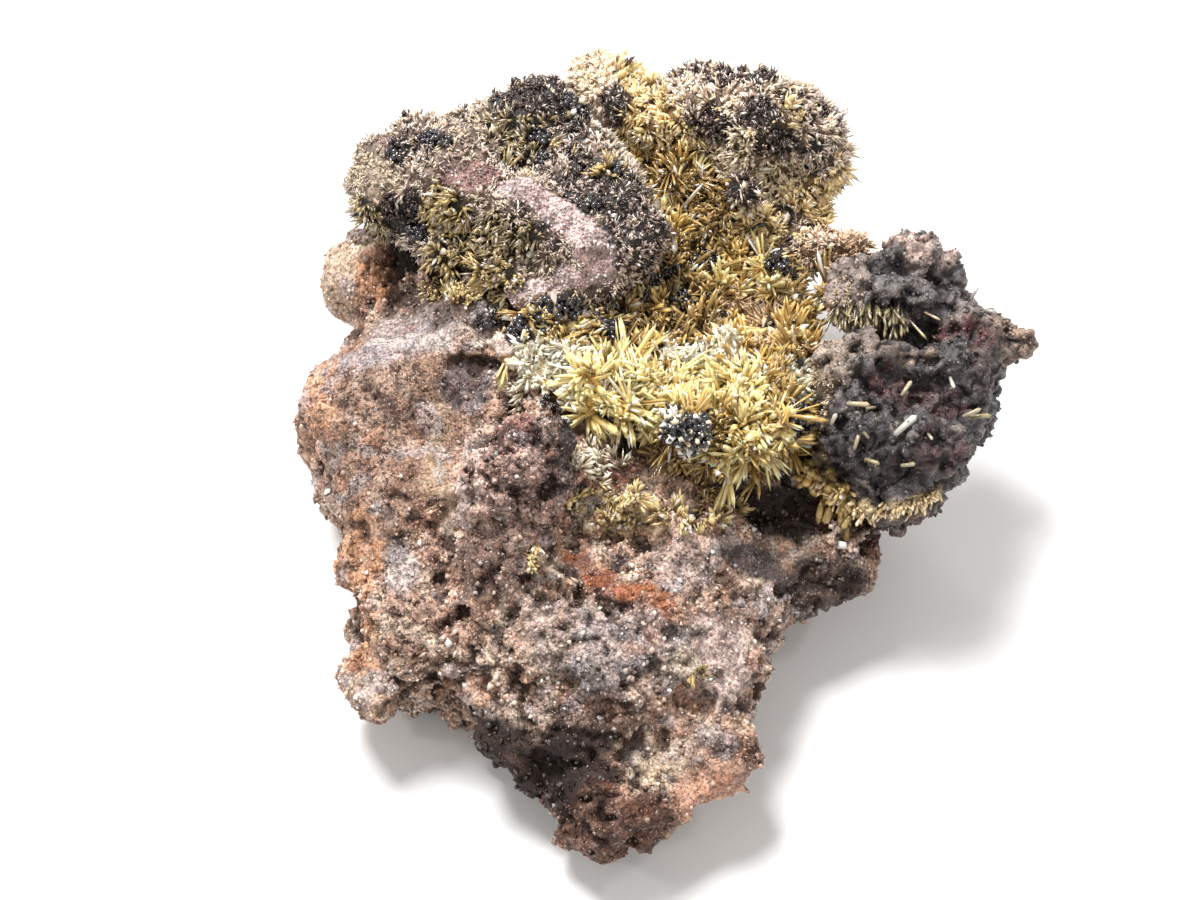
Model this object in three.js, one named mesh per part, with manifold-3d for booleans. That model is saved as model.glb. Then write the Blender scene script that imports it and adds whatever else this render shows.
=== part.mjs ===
// A mimetite specimen: yellow needle crystals in the hollow of a porous host rock, with crystal-coated lumps
// behind the hollow and a dark oxide mass beside it. It lies on the flat break on its back.
// Millimetres, +X to the right, +Y to the back, +Z up. Places are given in a layout frame with z = 0 on the
// flat break, and the finished group is then centred over its own base.

import * as THREE from "three";
import { mergeVertices } from "three/addons/utils/BufferGeometryUtils.js";
import Module from "manifold-3d";

const wasm = await Module();
wasm.setup();

// Driving dimensions, in millimetres.
const GAP = 0.3; // clearance between neighbouring solids
const ROCK_CELL = 4.1; // facet size on the host rock
const OXIDE_CELL = 3.3; // facet size on the oxide mass
const DRUSE_CELL = 3.7; // facet size on the crystal-coated lumps
const CRUST_CELL = 3.9; // facet size in the hollow
const BREAK_SIZE = 160; // side of the block that is cut away below the flat break
const CRYSTAL_SIDES = 6; // mimetite grows as hexagonal prisms
const CRYSTAL_WIDTH = 0.9; // prism radius of a typical sheaf of needles
const CRYSTAL_LENGTH = 3.6; // how far a typical sheaf stands out of its crust
const CRYSTAL_SHOULDER = 0.72; // share of a crystal's length at which its tip starts
const CRYSTAL_ROOT = 0.7; // a crystal's width at its root, as a share of its full width
const CRYSTAL_SWELL = (GAP / CRYSTAL_WIDTH) * 1.4; // extra width that keeps a neighbour clear of a crystal
const KNUCKLE_HEIGHT = 0.55; // height of the smaller knuckles, as a share of the broad swells
const KNUCKLE_PITCH = 2.3; // how many knuckles there are to a swell
const CUT_MELT = 1; // how far the rim of a cut is rounded
const BOX_MARGIN = 4; // room around a form for the relief on it
const FILLED = -0.3; // field value of a grid corner that is filled in

// How each material breaks up: how far its lumps melt together, and the height and width of its relief.
const ROCK = { cell: ROCK_CELL, melt: 3.5, height: 2, grain: 8.5 };
const OXIDE = { cell: OXIDE_CELL, melt: 1.6, height: 1, grain: 5 };
const DRUSE = { cell: DRUSE_CELL, melt: 2.4, height: 1.1, grain: 6 };
const CRUST = { cell: CRUST_CELL, melt: 2, height: 0.6, grain: 5 };

const GOLDEN_ANGLE = Math.PI * (3 - Math.sqrt(5));

// ---------------------------------------------------------------- noise

// A repeatable number from 0 to 1 for a lattice point.
function hash(i, j, k) {
  let h = Math.imul(i, 374761393) ^ Math.imul(j, 668265263) ^ Math.imul(k, 873266371);
  h = Math.imul(h ^ (h >>> 13), 1274126177);
  return ((h ^ (h >>> 16)) >>> 0) / 4294967296;
}

// Smooth noise from -1 to 1 over space.
function noise(x, y, z) {
  const cell = [x, y, z].map(Math.floor);
  const [u, v, w] = [x, y, z].map((value, axis) => {
    const t = value - cell[axis];
    return t * t * (3 - 2 * t);
  });
  let total = 0;
  for (let corner = 0; corner < 8; corner++) {
    const [a, b, c] = [corner & 1, (corner >> 1) & 1, (corner >> 2) & 1];
    const weight = (a ? u : 1 - u) * (b ? v : 1 - v) * (c ? w : 1 - w);
    total += weight * hash(cell[0] + a, cell[1] + b, cell[2] + c);
  }
  return total * 2 - 1;
}

// Broad swells with smaller knuckles on them.
function relief(point, grain) {
  const [x, y, z] = point.toArray().map((value) => value / grain);
  const knuckles = noise(KNUCKLE_PITCH * x + 7, KNUCKLE_PITCH * y + 3, KNUCKLE_PITCH * z + 5);
  return noise(x, y, z) + KNUCKLE_HEIGHT * knuckles;
}

// ---------------------------------------------------------------- forms

const lumpAt = (at, radius, turn = [0, 0, 0]) => ({
  centre: new THREE.Vector3(...at),
  size: new THREE.Vector3(...radius),
  turn: new THREE.Quaternion().setFromEuler(new THREE.Euler(...turn.map(THREE.MathUtils.degToRad))),
});

// Distance from an ellipsoid's surface, below zero inside it.
function distance(lump, point) {
  const local = point.clone().sub(lump.centre).applyQuaternion(lump.turn.clone().invert());
  const near = local.divide(lump.size).length();
  const slope = local.divide(lump.size).length();
  return slope > 0 ? (near * (near - 1)) / slope : -lump.size.length();
}

// The nearer of two distances, rounded off where they meet.
function melted(a, b, melt) {
  const closeness = Math.max(melt - Math.abs(a - b), 0) / melt;
  return Math.min(a, b) - (closeness * closeness * melt) / 4;
}

// The distance from lumps that have melted together, roughened, with hollows cut into them.
function formField({ lumps, cuts = [] }, { melt, height, grain }) {
  return (point) => {
    const outside = lumps.map((lump) => distance(lump, point)).reduce((a, b) => melted(a, b, melt));
    const rough = outside - height * relief(point, grain);
    return cuts.reduce((left, cut) => -melted(-left, distance(cut, point), CUT_MELT), rough);
  };
}

// The box that holds a form and the relief on it.
function formBox({ lumps }) {
  const box = new THREE.Box3();
  for (const { centre, size } of lumps) {
    const reach = Math.max(...size.toArray());
    box.expandByPoint(centre.clone().addScalar(reach));
    box.expandByPoint(centre.clone().subScalar(reach));
  }
  return box.expandByScalar(BOX_MARGIN);
}

// A regular grid of field values. Its outermost layer is always outside the form.
function sampled(field, box, cell) {
  const counts = box.getSize(new THREE.Vector3()).divideScalar(cell).ceil().addScalar(1).toArray();
  const step = [1, counts[0], counts[0] * counts[1]];
  const values = new Float64Array(step[2] * counts[2]);
  const corner = (index) => [
    index % counts[0],
    Math.floor(index / step[1]) % counts[1],
    Math.floor(index / step[2]),
  ];
  const place = (index) => new THREE.Vector3(...corner(index)).multiplyScalar(cell).add(box.min);
  for (let index = 0; index < values.length; index++) {
    const onEdge = corner(index).some((n, axis) => n === 0 || n === counts[axis] - 1);
    values[index] = onEdge ? cell : field(place(index));
  }
  return { values, step, place, cell };
}

// Where a surface would touch itself along an edge, the grid corner beside it is filled in.
function fillPinches({ values, step }) {
  const last = values.length - step[2] - step[1] - 2;
  let pinched = true;
  while (pinched) {
    pinched = false;
    for (let index = 0; index < last; index++) {
      for (const [a, b] of [[0, 1], [1, 2], [2, 0]]) {
        const face = [index, index + step[a], index + step[b], index + step[a] + step[b]];
        const [p, q, r, s] = face.map((at) => values[at] < 0);
        if (p === s && q === r && p !== q) {
          values[p ? face[1] : face[0]] = FILLED;
          pinched = true;
        }
      }
    }
  }
}

// One vertex in each cell that the surface passes through: the middle of its crossings with the cell's edges.
function cellVertex(grid, index) {
  const { values, step, place } = grid;
  const middle = new THREE.Vector3();
  let crossings = 0;
  for (let axis = 0; axis < 3; axis++) {
    for (let side = 0; side < 4; side++) {
      const start = index + (side & 1) * step[(axis + 1) % 3] + (side >> 1) * step[(axis + 2) % 3];
      const end = start + step[axis];
      if (values[start] < 0 !== values[end] < 0) {
        const along = values[start] / (values[start] - values[end]);
        middle.add(place(start).lerp(place(end), along));
        crossings += 1;
      }
    }
  }
  return middle.divideScalar(crossings);
}

// The closed surface of a form as a solid, `swell` further out than the form itself.
function solidForm(form, material, swell = 0) {
  const grid = sampled(formField(form, material), formBox(form), material.cell);
  fillPinches(grid);
  grid.values = grid.values.map((value) => value - swell);
  fillPinches(grid);
  const { values, step } = grid;
  const vertices = new Map();
  const places = [];
  const triangles = [];
  const vertex = (index) => {
    if (!vertices.has(index)) {
      vertices.set(index, places.length / 3);
      places.push(...cellVertex(grid, index).toArray());
    }
    return vertices.get(index);
  };
  for (let index = 0; index < values.length; index++) {
    for (let axis = 0; axis < 3; axis++) {
      const inside = values[index] < 0;
      if (index + step[axis] < values.length && inside !== values[index + step[axis]] < 0) {
        const [b, c] = [step[(axis + 1) % 3], step[(axis + 2) % 3]];
        const ring = [index, index - b, index - b - c, index - c].map(vertex);
        const quad = inside ? ring : ring.reverse();
        triangles.push(quad[0], quad[1], quad[2], quad[0], quad[2], quad[3]);
      }
    }
  }
  const geometry = new THREE.BufferGeometry();
  geometry.setAttribute("position", new THREE.Float32BufferAttribute(places, 3));
  geometry.setIndex(triangles);
  return solidOf(geometry);
}

// ---------------------------------------------------------------- solids

// A closed, indexed three.js geometry as a manifold-3d solid.
function solidOf(geometry) {
  const mesh = new wasm.Mesh({
    numProp: 3,
    vertProperties: geometry.attributes.position.array,
    triVerts: new Uint32Array(geometry.index.array),
  });
  return new wasm.Manifold(mesh);
}

// A manifold-3d solid as a three.js geometry with flat faces.
function geometryOf(solid) {
  const mesh = solid.getMesh();
  const geometry = new THREE.BufferGeometry();
  geometry.setAttribute("position", new THREE.BufferAttribute(mesh.vertProperties, mesh.numProp));
  geometry.setIndex(new THREE.BufferAttribute(mesh.triVerts, 1));
  const faceted = geometry.toNonIndexed();
  faceted.computeVertexNormals();
  return faceted;
}

const join = (solids) => solids.reduce((whole, next) => whole.add(next));

// Cuts leave crumbs that touch nothing: the piece is the largest body.
function largestBody(solid) {
  const bodies = solid.decompose();
  return bodies.reduce((best, body) => (body.volume() > best.volume() ? body : best));
}

// One hexagonal crystal: a prism that widens from its root, with a pyramid for its tip.
function crystal(root, direction, length, width) {
  const ring = (radius, height) => Array.from({ length: CRYSTAL_SIDES }, (_, side) => {
    const angle = (side / CRYSTAL_SIDES) * 2 * Math.PI;
    return [radius * Math.cos(angle), height, -radius * Math.sin(angle)];
  });
  const lower = ring(width * CRYSTAL_ROOT, 0);
  const upper = ring(width, length * CRYSTAL_SHOULDER);
  const places = [...lower, ...upper, [0, 0, 0], [0, length, 0]];
  const [foot, tip] = [2 * CRYSTAL_SIDES, 2 * CRYSTAL_SIDES + 1];
  const triangles = [];
  for (let side = 0; side < CRYSTAL_SIDES; side++) {
    const next = (side + 1) % CRYSTAL_SIDES;
    const [low, lowNext, high, highNext] = [side, next, side + CRYSTAL_SIDES, next + CRYSTAL_SIDES];
    triangles.push(low, lowNext, highNext, low, highNext, high, high, highNext, tip, lowNext, low, foot);
  }
  const geometry = new THREE.BufferGeometry();
  geometry.setAttribute("position", new THREE.Float32BufferAttribute(places.flat(), 3));
  geometry.setIndex(triangles);
  geometry.applyQuaternion(new THREE.Quaternion().setFromUnitVectors(new THREE.Vector3(0, 1, 0), direction));
  geometry.translate(root.x, root.y, root.z);
  return solidOf(geometry);
}

// Crystals that radiate from the middle of a lump, spread evenly over the cap around `facing`.
function spray({ centre, size }, { count, facing = [0, -0.25, 1], spread = 75, length = 1, width = 1 }) {
  const axis = new THREE.Vector3(...facing).normalize();
  const toAxis = new THREE.Quaternion().setFromUnitVectors(new THREE.Vector3(0, 0, 1), axis);
  const lowest = Math.cos(THREE.MathUtils.degToRad(spread));
  const crystals = [];
  for (let i = 0; i < count; i++) {
    const height = 1 - ((i + 0.5) / count) * (1 - lowest);
    const turn = i * GOLDEN_ANGLE + centre.x;
    const flat = Math.sqrt(1 - height * height);
    const direction = new THREE.Vector3(flat * Math.cos(turn), flat * Math.sin(turn), height);
    direction.applyQuaternion(toAxis);
    const chance = hash(i, Math.round(centre.x * 10), Math.round(centre.y * 10));
    const reach = direction.clone().multiply(size);
    const root = reach.clone().multiplyScalar(0.5).add(centre);
    const standing = CRYSTAL_LENGTH * length * (0.7 + 0.6 * chance);
    const whole = reach.length() * 0.5 + standing;
    crystals.push(crystal(root, direction, whole, CRYSTAL_WIDTH * width * (0.8 + 0.5 * chance)));
  }
  return crystals;
}

// ---------------------------------------------------------------- host rock

const rockForm = {
  lumps: [
    // the broad body, from the left shoulder to the right
    lumpAt([-34.6, 4, 14], [13, 17, 15], [0, 0, 8]),
    lumpAt([-25, 18, 17], [10, 12, 12]),
    lumpAt([-17, -4, 12], [20, 20, 16]),
    lumpAt([-8, -22, 11], [16, 14, 13], [0, 0, -25]),
    lumpAt([-32.4, -21, 10], [8.2, 11, 11], [0, 0, 14]),
    lumpAt([-18, -31, 9], [9, 8, 10], [0, 0, -35]),
    lumpAt([0, 16, 9], [19, 24, 12]),
    lumpAt([12, -5, 9], [13, 11, 11]),
    lumpAt([23, 4, 10], [8, 10, 10]),
    // the roots of the ridge, the peak and the knob
    lumpAt([-27, 31, 14], [12, 9, 14]),
    lumpAt([-7, 40, 13], [11, 7, 14]),
    lumpAt([6, 36, 12], [11, 8, 14]),
    // the bulge on the left, the block in the middle and the tail
    lumpAt([-40, 27, 19], [5, 6, 7.5]),
    lumpAt([-19, -9, 26.4], [8, 9, 9.4], [15, 0, -12]),
    lumpAt([-20, -17, 21], [6.5, 7, 8]),
    lumpAt([-8.2, -42, 8], [4.4, 6.5, 6.5]),
    lumpAt([-2, -42.4, 8], [4.8, 6.5, 7]),
    lumpAt([6.4, -38, 9], [4.8, 5, 6.5]),
    // small knuckles on the lower face
    lumpAt([4, -22, 16], [6.5, 6, 7]),
    lumpAt([9.4, -19, 11], [5.2, 9, 8]),
    lumpAt([5, -30, 13], [5, 5, 7]),
    lumpAt([-2, -20, 20], [5, 5, 5]),
    lumpAt([4, -12, 18], [7, 6, 6]),
    lumpAt([21, -9, 13], [6, 5, 7]),
    lumpAt([-13, -26, 18], [8, 6, 6]),
    lumpAt([-35, -12, 17], [5, 8, 6]),
  ],
  cuts: [
    // the shadowed undercut below the crystals' front edge, the cavity and its crevice
    lumpAt([16, -7, 22], [8, 3.6, 4], [12, 0, -4]),
    lumpAt([4.5, -31, 22], [2.6, 2.4, 5]),
    lumpAt([-9, -31.5, 23], [3.4, 2.8, 4], [0, 0, 20]),
    // the groove under the lower ledge, and the recess where the rust is
    lumpAt([-21, -31, 20], [10, 2.4, 3.4], [30, 0, -28]),
    lumpAt([-6.5, -15, 26.6], [9, 3.2, 5.4], [0, 0, -42]),
    // the dark pocket under the ridge's left end, and a step in the left shoulder
    lumpAt([-31.5, 24.5, 28], [3.2, 3.6, 3.4]),
    lumpAt([-32, -3, 30], [14, 3, 6], [0, 0, 14]),
  ],
};

// Sprays of crystals on the small ledge below the hollow, fused to the rock.
const ledgeSprays = [lumpAt([-6.5, -8, 24], [3, 2, 2]), lumpAt([-0.5, -9.5, 23.5], [3, 2, 2])];

// The gap that goes right through, between the neck, the hollow and the oxide mass.
const throughGap = { from: [25, 42, -12], to: [18, 8, 40], radius: 1.6 };

// ---------------------------------------------------------------- oxide mass

const oxideForm = {
  lumps: [
    lumpAt([27, 6, 20], [8.6, 11, 10]),
    lumpAt([34, 6, 20], [7.5, 8, 8]),
    lumpAt([43, 11, 26], [3.4, 3, 3]),
    // upper tier
    lumpAt([26.5, 16.5, 31], [6.4, 5, 5]),
    lumpAt([32.4, 20, 30], [5, 4.6, 4.6]),
    lumpAt([35.4, 12.4, 28], [4.4, 4.2, 4]),
    lumpAt([39.4, 14, 27.4], [3.8, 3.4, 3.4]),
    // middle and lower tiers
    lumpAt([23.4, 5.6, 30.5], [6.6, 5, 5]),
    lumpAt([34, 6, 28.5], [6, 5, 4.6]),
    lumpAt([22, -3.5, 29], [5, 4.6, 4.6]),
    lumpAt([29.5, -3.5, 27], [6.8, 4.6, 5]),
    lumpAt([27.5, -8.5, 21], [6, 3.4, 4.6]),
    lumpAt([22, -2, 18], [6, 6, 6]),
  ],
  cuts: [
    lumpAt([31, 11, 34], [10, 2, 3], [0, 8, 4]),
    lumpAt([32, 1, 33], [6, 1.8, 2.6], [0, 0, -8]),
  ],
};

// Crystals fused to the mass: a sheaf along its lower edge, and a fringe under the upper tier.
const rimSprays = [lumpAt([18, -6.5, 28], [3, 2, 2]), lumpAt([23, -9, 26], [3, 2, 2])];
const fringeSprays = [lumpAt([23, 12.4, 32], [3, 1.6, 2]), lumpAt([27.5, 12.2, 32], [3, 1.6, 2])];

// ---------------------------------------------------------------- crystal crusts

const pillow = (x, y, z, a, b = a, c = a * 0.8) => lumpAt([x, y, z], [a, b, c]);

const hollowPillows = [
  // the front edge, from left to right
  pillow(-17, 8, 28, 4),
  pillow(-12, 4, 29, 4),
  pillow(-6.5, 1, 28, 4.6),
  pillow(4, -1.5, 27, 5.2, 5.2, 4.8),
  pillow(12, 0, 27, 5.2, 5.2, 4.8),
  pillow(16, 8.5, 26, 4.2),
  pillow(17.4, 20.4, 25, 4),
  // the floor behind it
  pillow(-12, 13, 25, 4.6),
  pillow(-2, 8, 25.5, 5.4),
  pillow(8, 9, 24.5, 5.4),
  pillow(15.4, 15, 25, 4.4),
  pillow(4, 18, 23, 5),
  pillow(12, 24, 25, 5),
  pillow(2, 28, 25, 5),
  pillow(8, 33, 27.5, 4.8),
  pillow(2, 37, 28.5, 5),
  pillow(-3, 38.5, 27.5, 4.6),
];

const hollowForm = {
  lumps: [
    lumpAt([-1, 12, 19], [18, 14, 6]),
    lumpAt([-8, 21, 21], [8, 6, 5]),
    lumpAt([4, 25, 19], [12, 12, 6]),
    lumpAt([6, 2, 22], [13, 7, 6]),
    // the rib that runs from the foot of the ridge to the left edge
    lumpAt([-8.4, 15, 28.4], [4.6, 2.6, 3.4]),
    lumpAt([-14, 12.2, 28.6], [4.8, 2.6, 3.2]),
    lumpAt([-20, 9.4, 27.6], [4.4, 2.6, 3]),
    ...hollowPillows,
  ],
};

const ridgeForm = {
  lumps: [
    // the left end, the saddle and the dark knob
    lumpAt([-33, 31.8, 31], [6.4, 6.2, 7]),
    lumpAt([-28.6, 37, 32.4], [6.2, 5.6, 6.6]),
    lumpAt([-22, 38.6, 31], [5.6, 5, 6]),
    lumpAt([-16.6, 42, 33], [6, 5.4, 6.4]),
    // the crest, from its left end to its foot
    lumpAt([-25, 30, 35], [6.4, 4.2, 4.8]),
    lumpAt([-18, 25.4, 35.8], [6.4, 3.8, 4.6], [0, 0, -28]),
    lumpAt([-11.6, 21, 35], [6, 3.8, 4.6], [0, 0, -30]),
    lumpAt([-6.6, 17.8, 32], [4.4, 3.4, 4.2]),
    // the dark end and the back
    lumpAt([-8, 27, 34], [7.4, 5.6, 5.6], [0, 0, -30]),
    lumpAt([-3.6, 21.6, 33], [4.4, 4.4, 5]),
    lumpAt([-9.4, 34, 32], [6.6, 5.4, 6.4]),
    // the slope below the crest
    lumpAt([-28, 24.4, 29.6], [5.2, 4.2, 5]),
    lumpAt([-21.4, 21, 29.6], [5.6, 4.4, 5]),
    lumpAt([-14, 17.4, 28.6], [5.6, 4.2, 4.8]),
  ],
};

const knobForm = {
  lumps: [
    lumpAt([4, 43.4, 32.4], [6.6, 6.5, 7.8]),
    lumpAt([12.5, 40.5, 34], [9, 7, 8.5]),
    lumpAt([19.5, 38, 30.5], [5.6, 6.5, 7.5]),
    lumpAt([9.5, 29.5, 33], [3.2, 3, 3.6]),
    // the peak
    lumpAt([-8, 48.5, 30.5], [5, 4.4, 7]),
    lumpAt([-3.5, 44, 30], [4, 4, 6]),
    // the neck towards the oxide mass
    lumpAt([18, 26, 25.5], [4.2, 4.2, 4.4]),
    lumpAt([24, 26, 27], [4.8, 3.6, 4]),
    lumpAt([15, 31, 25], [5, 5, 5.5]),
  ],
};

// ---------------------------------------------------------------- the specimen

const colours = {
  rock: 0xb39482,
  oxide: 0x4a4041,
  yellow: 0xcdb065,
  mottled: 0x847361,
  mauve: 0x8b786e,
};

function finish(colour, roughness) {
  return new THREE.MeshStandardMaterial({ color: colour, roughness, metalness: 0, flatShading: true });
}

// The block below the flat break that the specimen lies on.
function belowBreak() {
  const shape = new THREE.BoxGeometry(BREAK_SIZE, BREAK_SIZE, BREAK_SIZE).translate(0, 0, -BREAK_SIZE / 2);
  return solidOf(mergeVertices(shape.deleteAttribute("normal").deleteAttribute("uv")));
}

function straightGap({ from, to, radius }) {
  const start = new THREE.Vector3(...from);
  const way = new THREE.Vector3(...to).sub(start);
  return crystal(start, way.clone().normalize(), way.length(), radius);
}

const pieces = new Map();
const taken = [belowBreak(), straightGap(throughGap)];

// Pieces are made in the order in which they give way to each other. A piece is its form and its crystals, less
// everything that it grows on or meets.
function addPiece(name, form, material, look, sprays) {
  const crystals = (extra) => sprays.flatMap(({ on, width = 1, ...rest }) => (
    on.flatMap((one) => spray(one, { ...rest, width: width + extra }))
  ));
  const whole = join([solidForm(form, material), ...crystals(0)]);
  const solid = largestBody(taken.reduce((left, neighbour) => left.subtract(neighbour), whole));
  taken.push(join([whole, solidForm(form, material, GAP), ...crystals(CRYSTAL_SWELL)]));
  pieces.set(name, { solid, look });
}

addPiece("matrix_rock", rockForm, ROCK, finish(colours.rock, 0.85), [
  { on: ledgeSprays, count: 3, facing: [0, -1, 0.8], spread: 60 },
]);
addPiece("oxide_mass", oxideForm, OXIDE, finish(colours.oxide, 0.7), [
  { on: rimSprays, count: 4, facing: [0, -1, 0.1], spread: 50 },
  { on: fringeSprays, count: 3, facing: [0, -1, 0.1], spread: 40, length: 0.7 },
]);
addPiece("knob_druse", knobForm, DRUSE, finish(colours.mottled, 0.5), [
  { on: knobForm.lumps.slice(0, 6), count: 2, length: 0.6, facing: [0.1, 0, 1], spread: 60 },
]);
addPiece("ridge_druse", ridgeForm, DRUSE, finish(colours.mauve, 0.55), [
  { on: ridgeForm.lumps.slice(0, 5), count: 1, length: 0.6, facing: [-0.1, 0, 1], spread: 60 },
]);
addPiece("hollow_crust", hollowForm, CRUST, finish(colours.yellow, 0.3), [
  { on: hollowPillows.slice(0, 7), count: 4, spread: 62 },
  { on: hollowPillows.slice(7), count: 2, spread: 55 },
]);

const specimen = new THREE.Group();
for (const [name, { solid, look }] of pieces) {
  const mesh = new THREE.Mesh(geometryOf(solid), look);
  mesh.name = name;
  specimen.add(mesh);
}

// The origin is under the middle of the whole specimen, on its flat break.
const extent = new THREE.Box3().setFromObject(specimen);
const middle = extent.getCenter(new THREE.Vector3());
specimen.position.set(-middle.x, -middle.y, -extent.min.z);

export default specimen;
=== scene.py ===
# A mimetite specimen: golden needles in the hollow of a crumbly host rock, bristly druse lumps behind it,
# and a dark knobbly oxide mass beside it. Places are in millimetres in the part's own frame.

import math
import time

import bpy
import numpy as np
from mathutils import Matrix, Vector
from mathutils.bvhtree import BVHTree


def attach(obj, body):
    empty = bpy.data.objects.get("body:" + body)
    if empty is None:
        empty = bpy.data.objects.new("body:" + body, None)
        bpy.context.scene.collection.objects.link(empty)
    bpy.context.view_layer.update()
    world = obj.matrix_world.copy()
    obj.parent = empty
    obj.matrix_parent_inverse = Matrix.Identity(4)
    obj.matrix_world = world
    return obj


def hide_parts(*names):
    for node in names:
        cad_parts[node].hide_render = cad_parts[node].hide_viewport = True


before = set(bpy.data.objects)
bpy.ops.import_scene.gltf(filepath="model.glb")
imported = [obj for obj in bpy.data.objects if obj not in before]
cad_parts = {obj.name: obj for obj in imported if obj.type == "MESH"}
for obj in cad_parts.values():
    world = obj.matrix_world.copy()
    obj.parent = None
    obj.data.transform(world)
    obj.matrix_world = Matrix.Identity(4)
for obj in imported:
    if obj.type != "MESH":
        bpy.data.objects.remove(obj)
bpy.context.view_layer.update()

millimetre = 0.001
started = time.time()
random = np.random.default_rng(7)
highest = 43.6  # the tallest anything may stand
mostTriangles = 190000  # the most that one piece may have


def say(stage):
    print(f"{stage}: {time.time() - started:.1f} s", flush=True)


def paint(shade):
    # a paint chart's colours, 0 to 255, as linear light
    share = np.array(shade, float) / 255
    return np.where(share <= 0.04045, share / 12.92, ((share + 0.055) / 1.055) ** 2.4)


# Noise over space

cubeCorners = np.array([(n & 1, n >> 1 & 1, n >> 2) for n in range(8)])


def chance(cells, seed):
    # a repeatable number from 0 to 1 for each whole-numbered place
    mixed = cells.astype(np.int64) @ np.array((374761393, 668265263, 873266371)) + seed * 97531
    mixed = (mixed ^ (mixed >> 13)) * 1274126177
    mixed = (mixed ^ (mixed >> 16)) & 0xFFFFFF
    return mixed / 0xFFFFFF


def noise(points, size, seed=0):
    # smooth, from -1 to 1
    places = points / size
    cell = np.floor(places)
    along = places - cell
    along = along * along * (3 - 2 * along)
    total = np.zeros(len(points))
    for corner in cubeCorners:
        total += np.where(corner, along, 1 - along).prod(1) * chance(cell + corner, seed)
    return 2 * total - 1


def cloudy(points, size, octaves=3, seed=0):
    return sum(noise(points, size / 2**n, seed + n) / 2**n for n in range(octaves)) / 1.4


def bent(points, size, amount, seed=0):
    # the same places pushed about, so that what follows lies in no rows
    return points + amount * np.stack([noise(points, size, seed + axis) for axis in range(3)], 1)


def grains(points, size, seed=0):
    # how far each point is from its nearest grain's middle, in grains, and the grain's own number
    places = points / size
    base = np.floor(places - 0.5)
    nearest = np.full(len(points), 9.0)
    which = np.zeros(len(points))
    for corner in cubeCorners:
        cell = base + corner
        jitter = np.stack([chance(cell, seed + axis) for axis in range(3)], 1) - 0.5
        away = np.linalg.norm(places - cell - 0.5 - 0.85 * jitter, axis=1)
        which = np.where(away < nearest, chance(cell, seed + 7), which)
        nearest = np.minimum(nearest, away)
    return nearest, which


def ease(low, high, value):
    share = np.clip((value - low) / (high - low), 0, 1)
    return share * share * (3 - 2 * share)


def near(points, at, reach, ragged=0.35, seed=0):
    # 1 inside a patch and 0 outside it, with a ragged edge
    away = np.linalg.norm((points - np.array(at)) / np.array(reach), axis=1)
    share = np.zeros(len(points))
    close = away < 1.3 + ragged
    share[close] = ease(1.25, 0.8, away[close] + ragged * cloudy(points[close], 4, 3, seed))
    return share


# Meshes


def adopt(piece):
    bpy.context.scene.collection.objects.link(piece)
    return piece


def placesOf(piece):
    found = np.empty(len(piece.data.vertices) * 3)
    piece.data.vertices.foreach_get("co", found)
    return found.reshape(-1, 3) / millimetre


def outwardsOf(piece):
    found = np.empty(len(piece.data.vertices) * 3)
    piece.data.vertex_normals.foreach_get("vector", found)
    return found.reshape(-1, 3)


def moveTo(piece, points):
    points[:, 2] = np.maximum(points[:, 2], 0)  # nothing goes below the surface it lies on
    piece.data.vertices.foreach_set("co", (points * millimetre).astype(np.float32).ravel())
    piece.data.update()


def trianglesOf(piece):
    return sum(len(face.vertices) - 2 for face in piece.data.polygons)


def settle(piece):
    # its modifiers become its mesh
    whole = piece.evaluated_get(bpy.context.evaluated_depsgraph_get())
    mesh = bpy.data.meshes.new_from_object(whole)
    piece.modifiers.clear()
    piece.data = mesh


def evened(piece, voxel, rounds):
    # even small faces all over, with corners softened
    remesh = piece.modifiers.new("evenFaces", "REMESH")
    remesh.mode = "VOXEL"
    remesh.voxel_size = voxel * millimetre
    remesh.use_smooth_shade = True
    soften = piece.modifiers.new("soften", "SMOOTH")
    soften.factor = 0.5
    soften.iterations = rounds
    settle(piece)


def thinned(piece, most):
    # no more than so many triangles, kept where the surface is rough
    triangles = trianglesOf(piece)
    if triangles > most:
        thin = piece.modifiers.new("thin", "DECIMATE")
        thin.ratio = most / triangles
        settle(piece)


def tint(piece, values):
    # one colour for each vertex, and those too bright to show keep their hue
    values = values / np.maximum(values.max(1), 1)[:, None]
    layer = piece.data.color_attributes.new("tint", "FLOAT_COLOR", "POINT")
    full = np.ones((len(values), 4), np.float32)
    full[:, :3] = np.clip(values, 0, 1)
    layer.data.foreach_set("color", full.ravel())


def blend(colours, other, share):
    return colours + (other - colours) * np.asarray(share)[:, None]


def mottled(points, paints, size, seed):
    # colours that run into each other over space
    value = np.clip(0.5 + 0.75 * cloudy(points, size, 4, seed), 0, 0.9999) * (len(paints) - 1)
    first = value.astype(int)
    stock = paint(paints)
    return blend(stock[first], stock[first + 1], ease(0.15, 0.85, value - first))


# Shader nodes


class Wire:
    # a socket that sums can be written with
    def __init__(self, finish, socket):
        self.finish = finish
        self.socket = socket

    def maths(self, operation, *values):
        return self.finish.node("Math", {"operation": operation}, dict(enumerate(values)))

    def __add__(self, other):
        return self.maths("ADD", self, other)

    def __sub__(self, other):
        return self.maths("SUBTRACT", self, other)

    def __rsub__(self, other):
        return self.maths("SUBTRACT", other, self)

    def __mul__(self, other):
        return self.maths("MULTIPLY", self, other)

    __radd__ = __add__
    __rmul__ = __mul__


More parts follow.
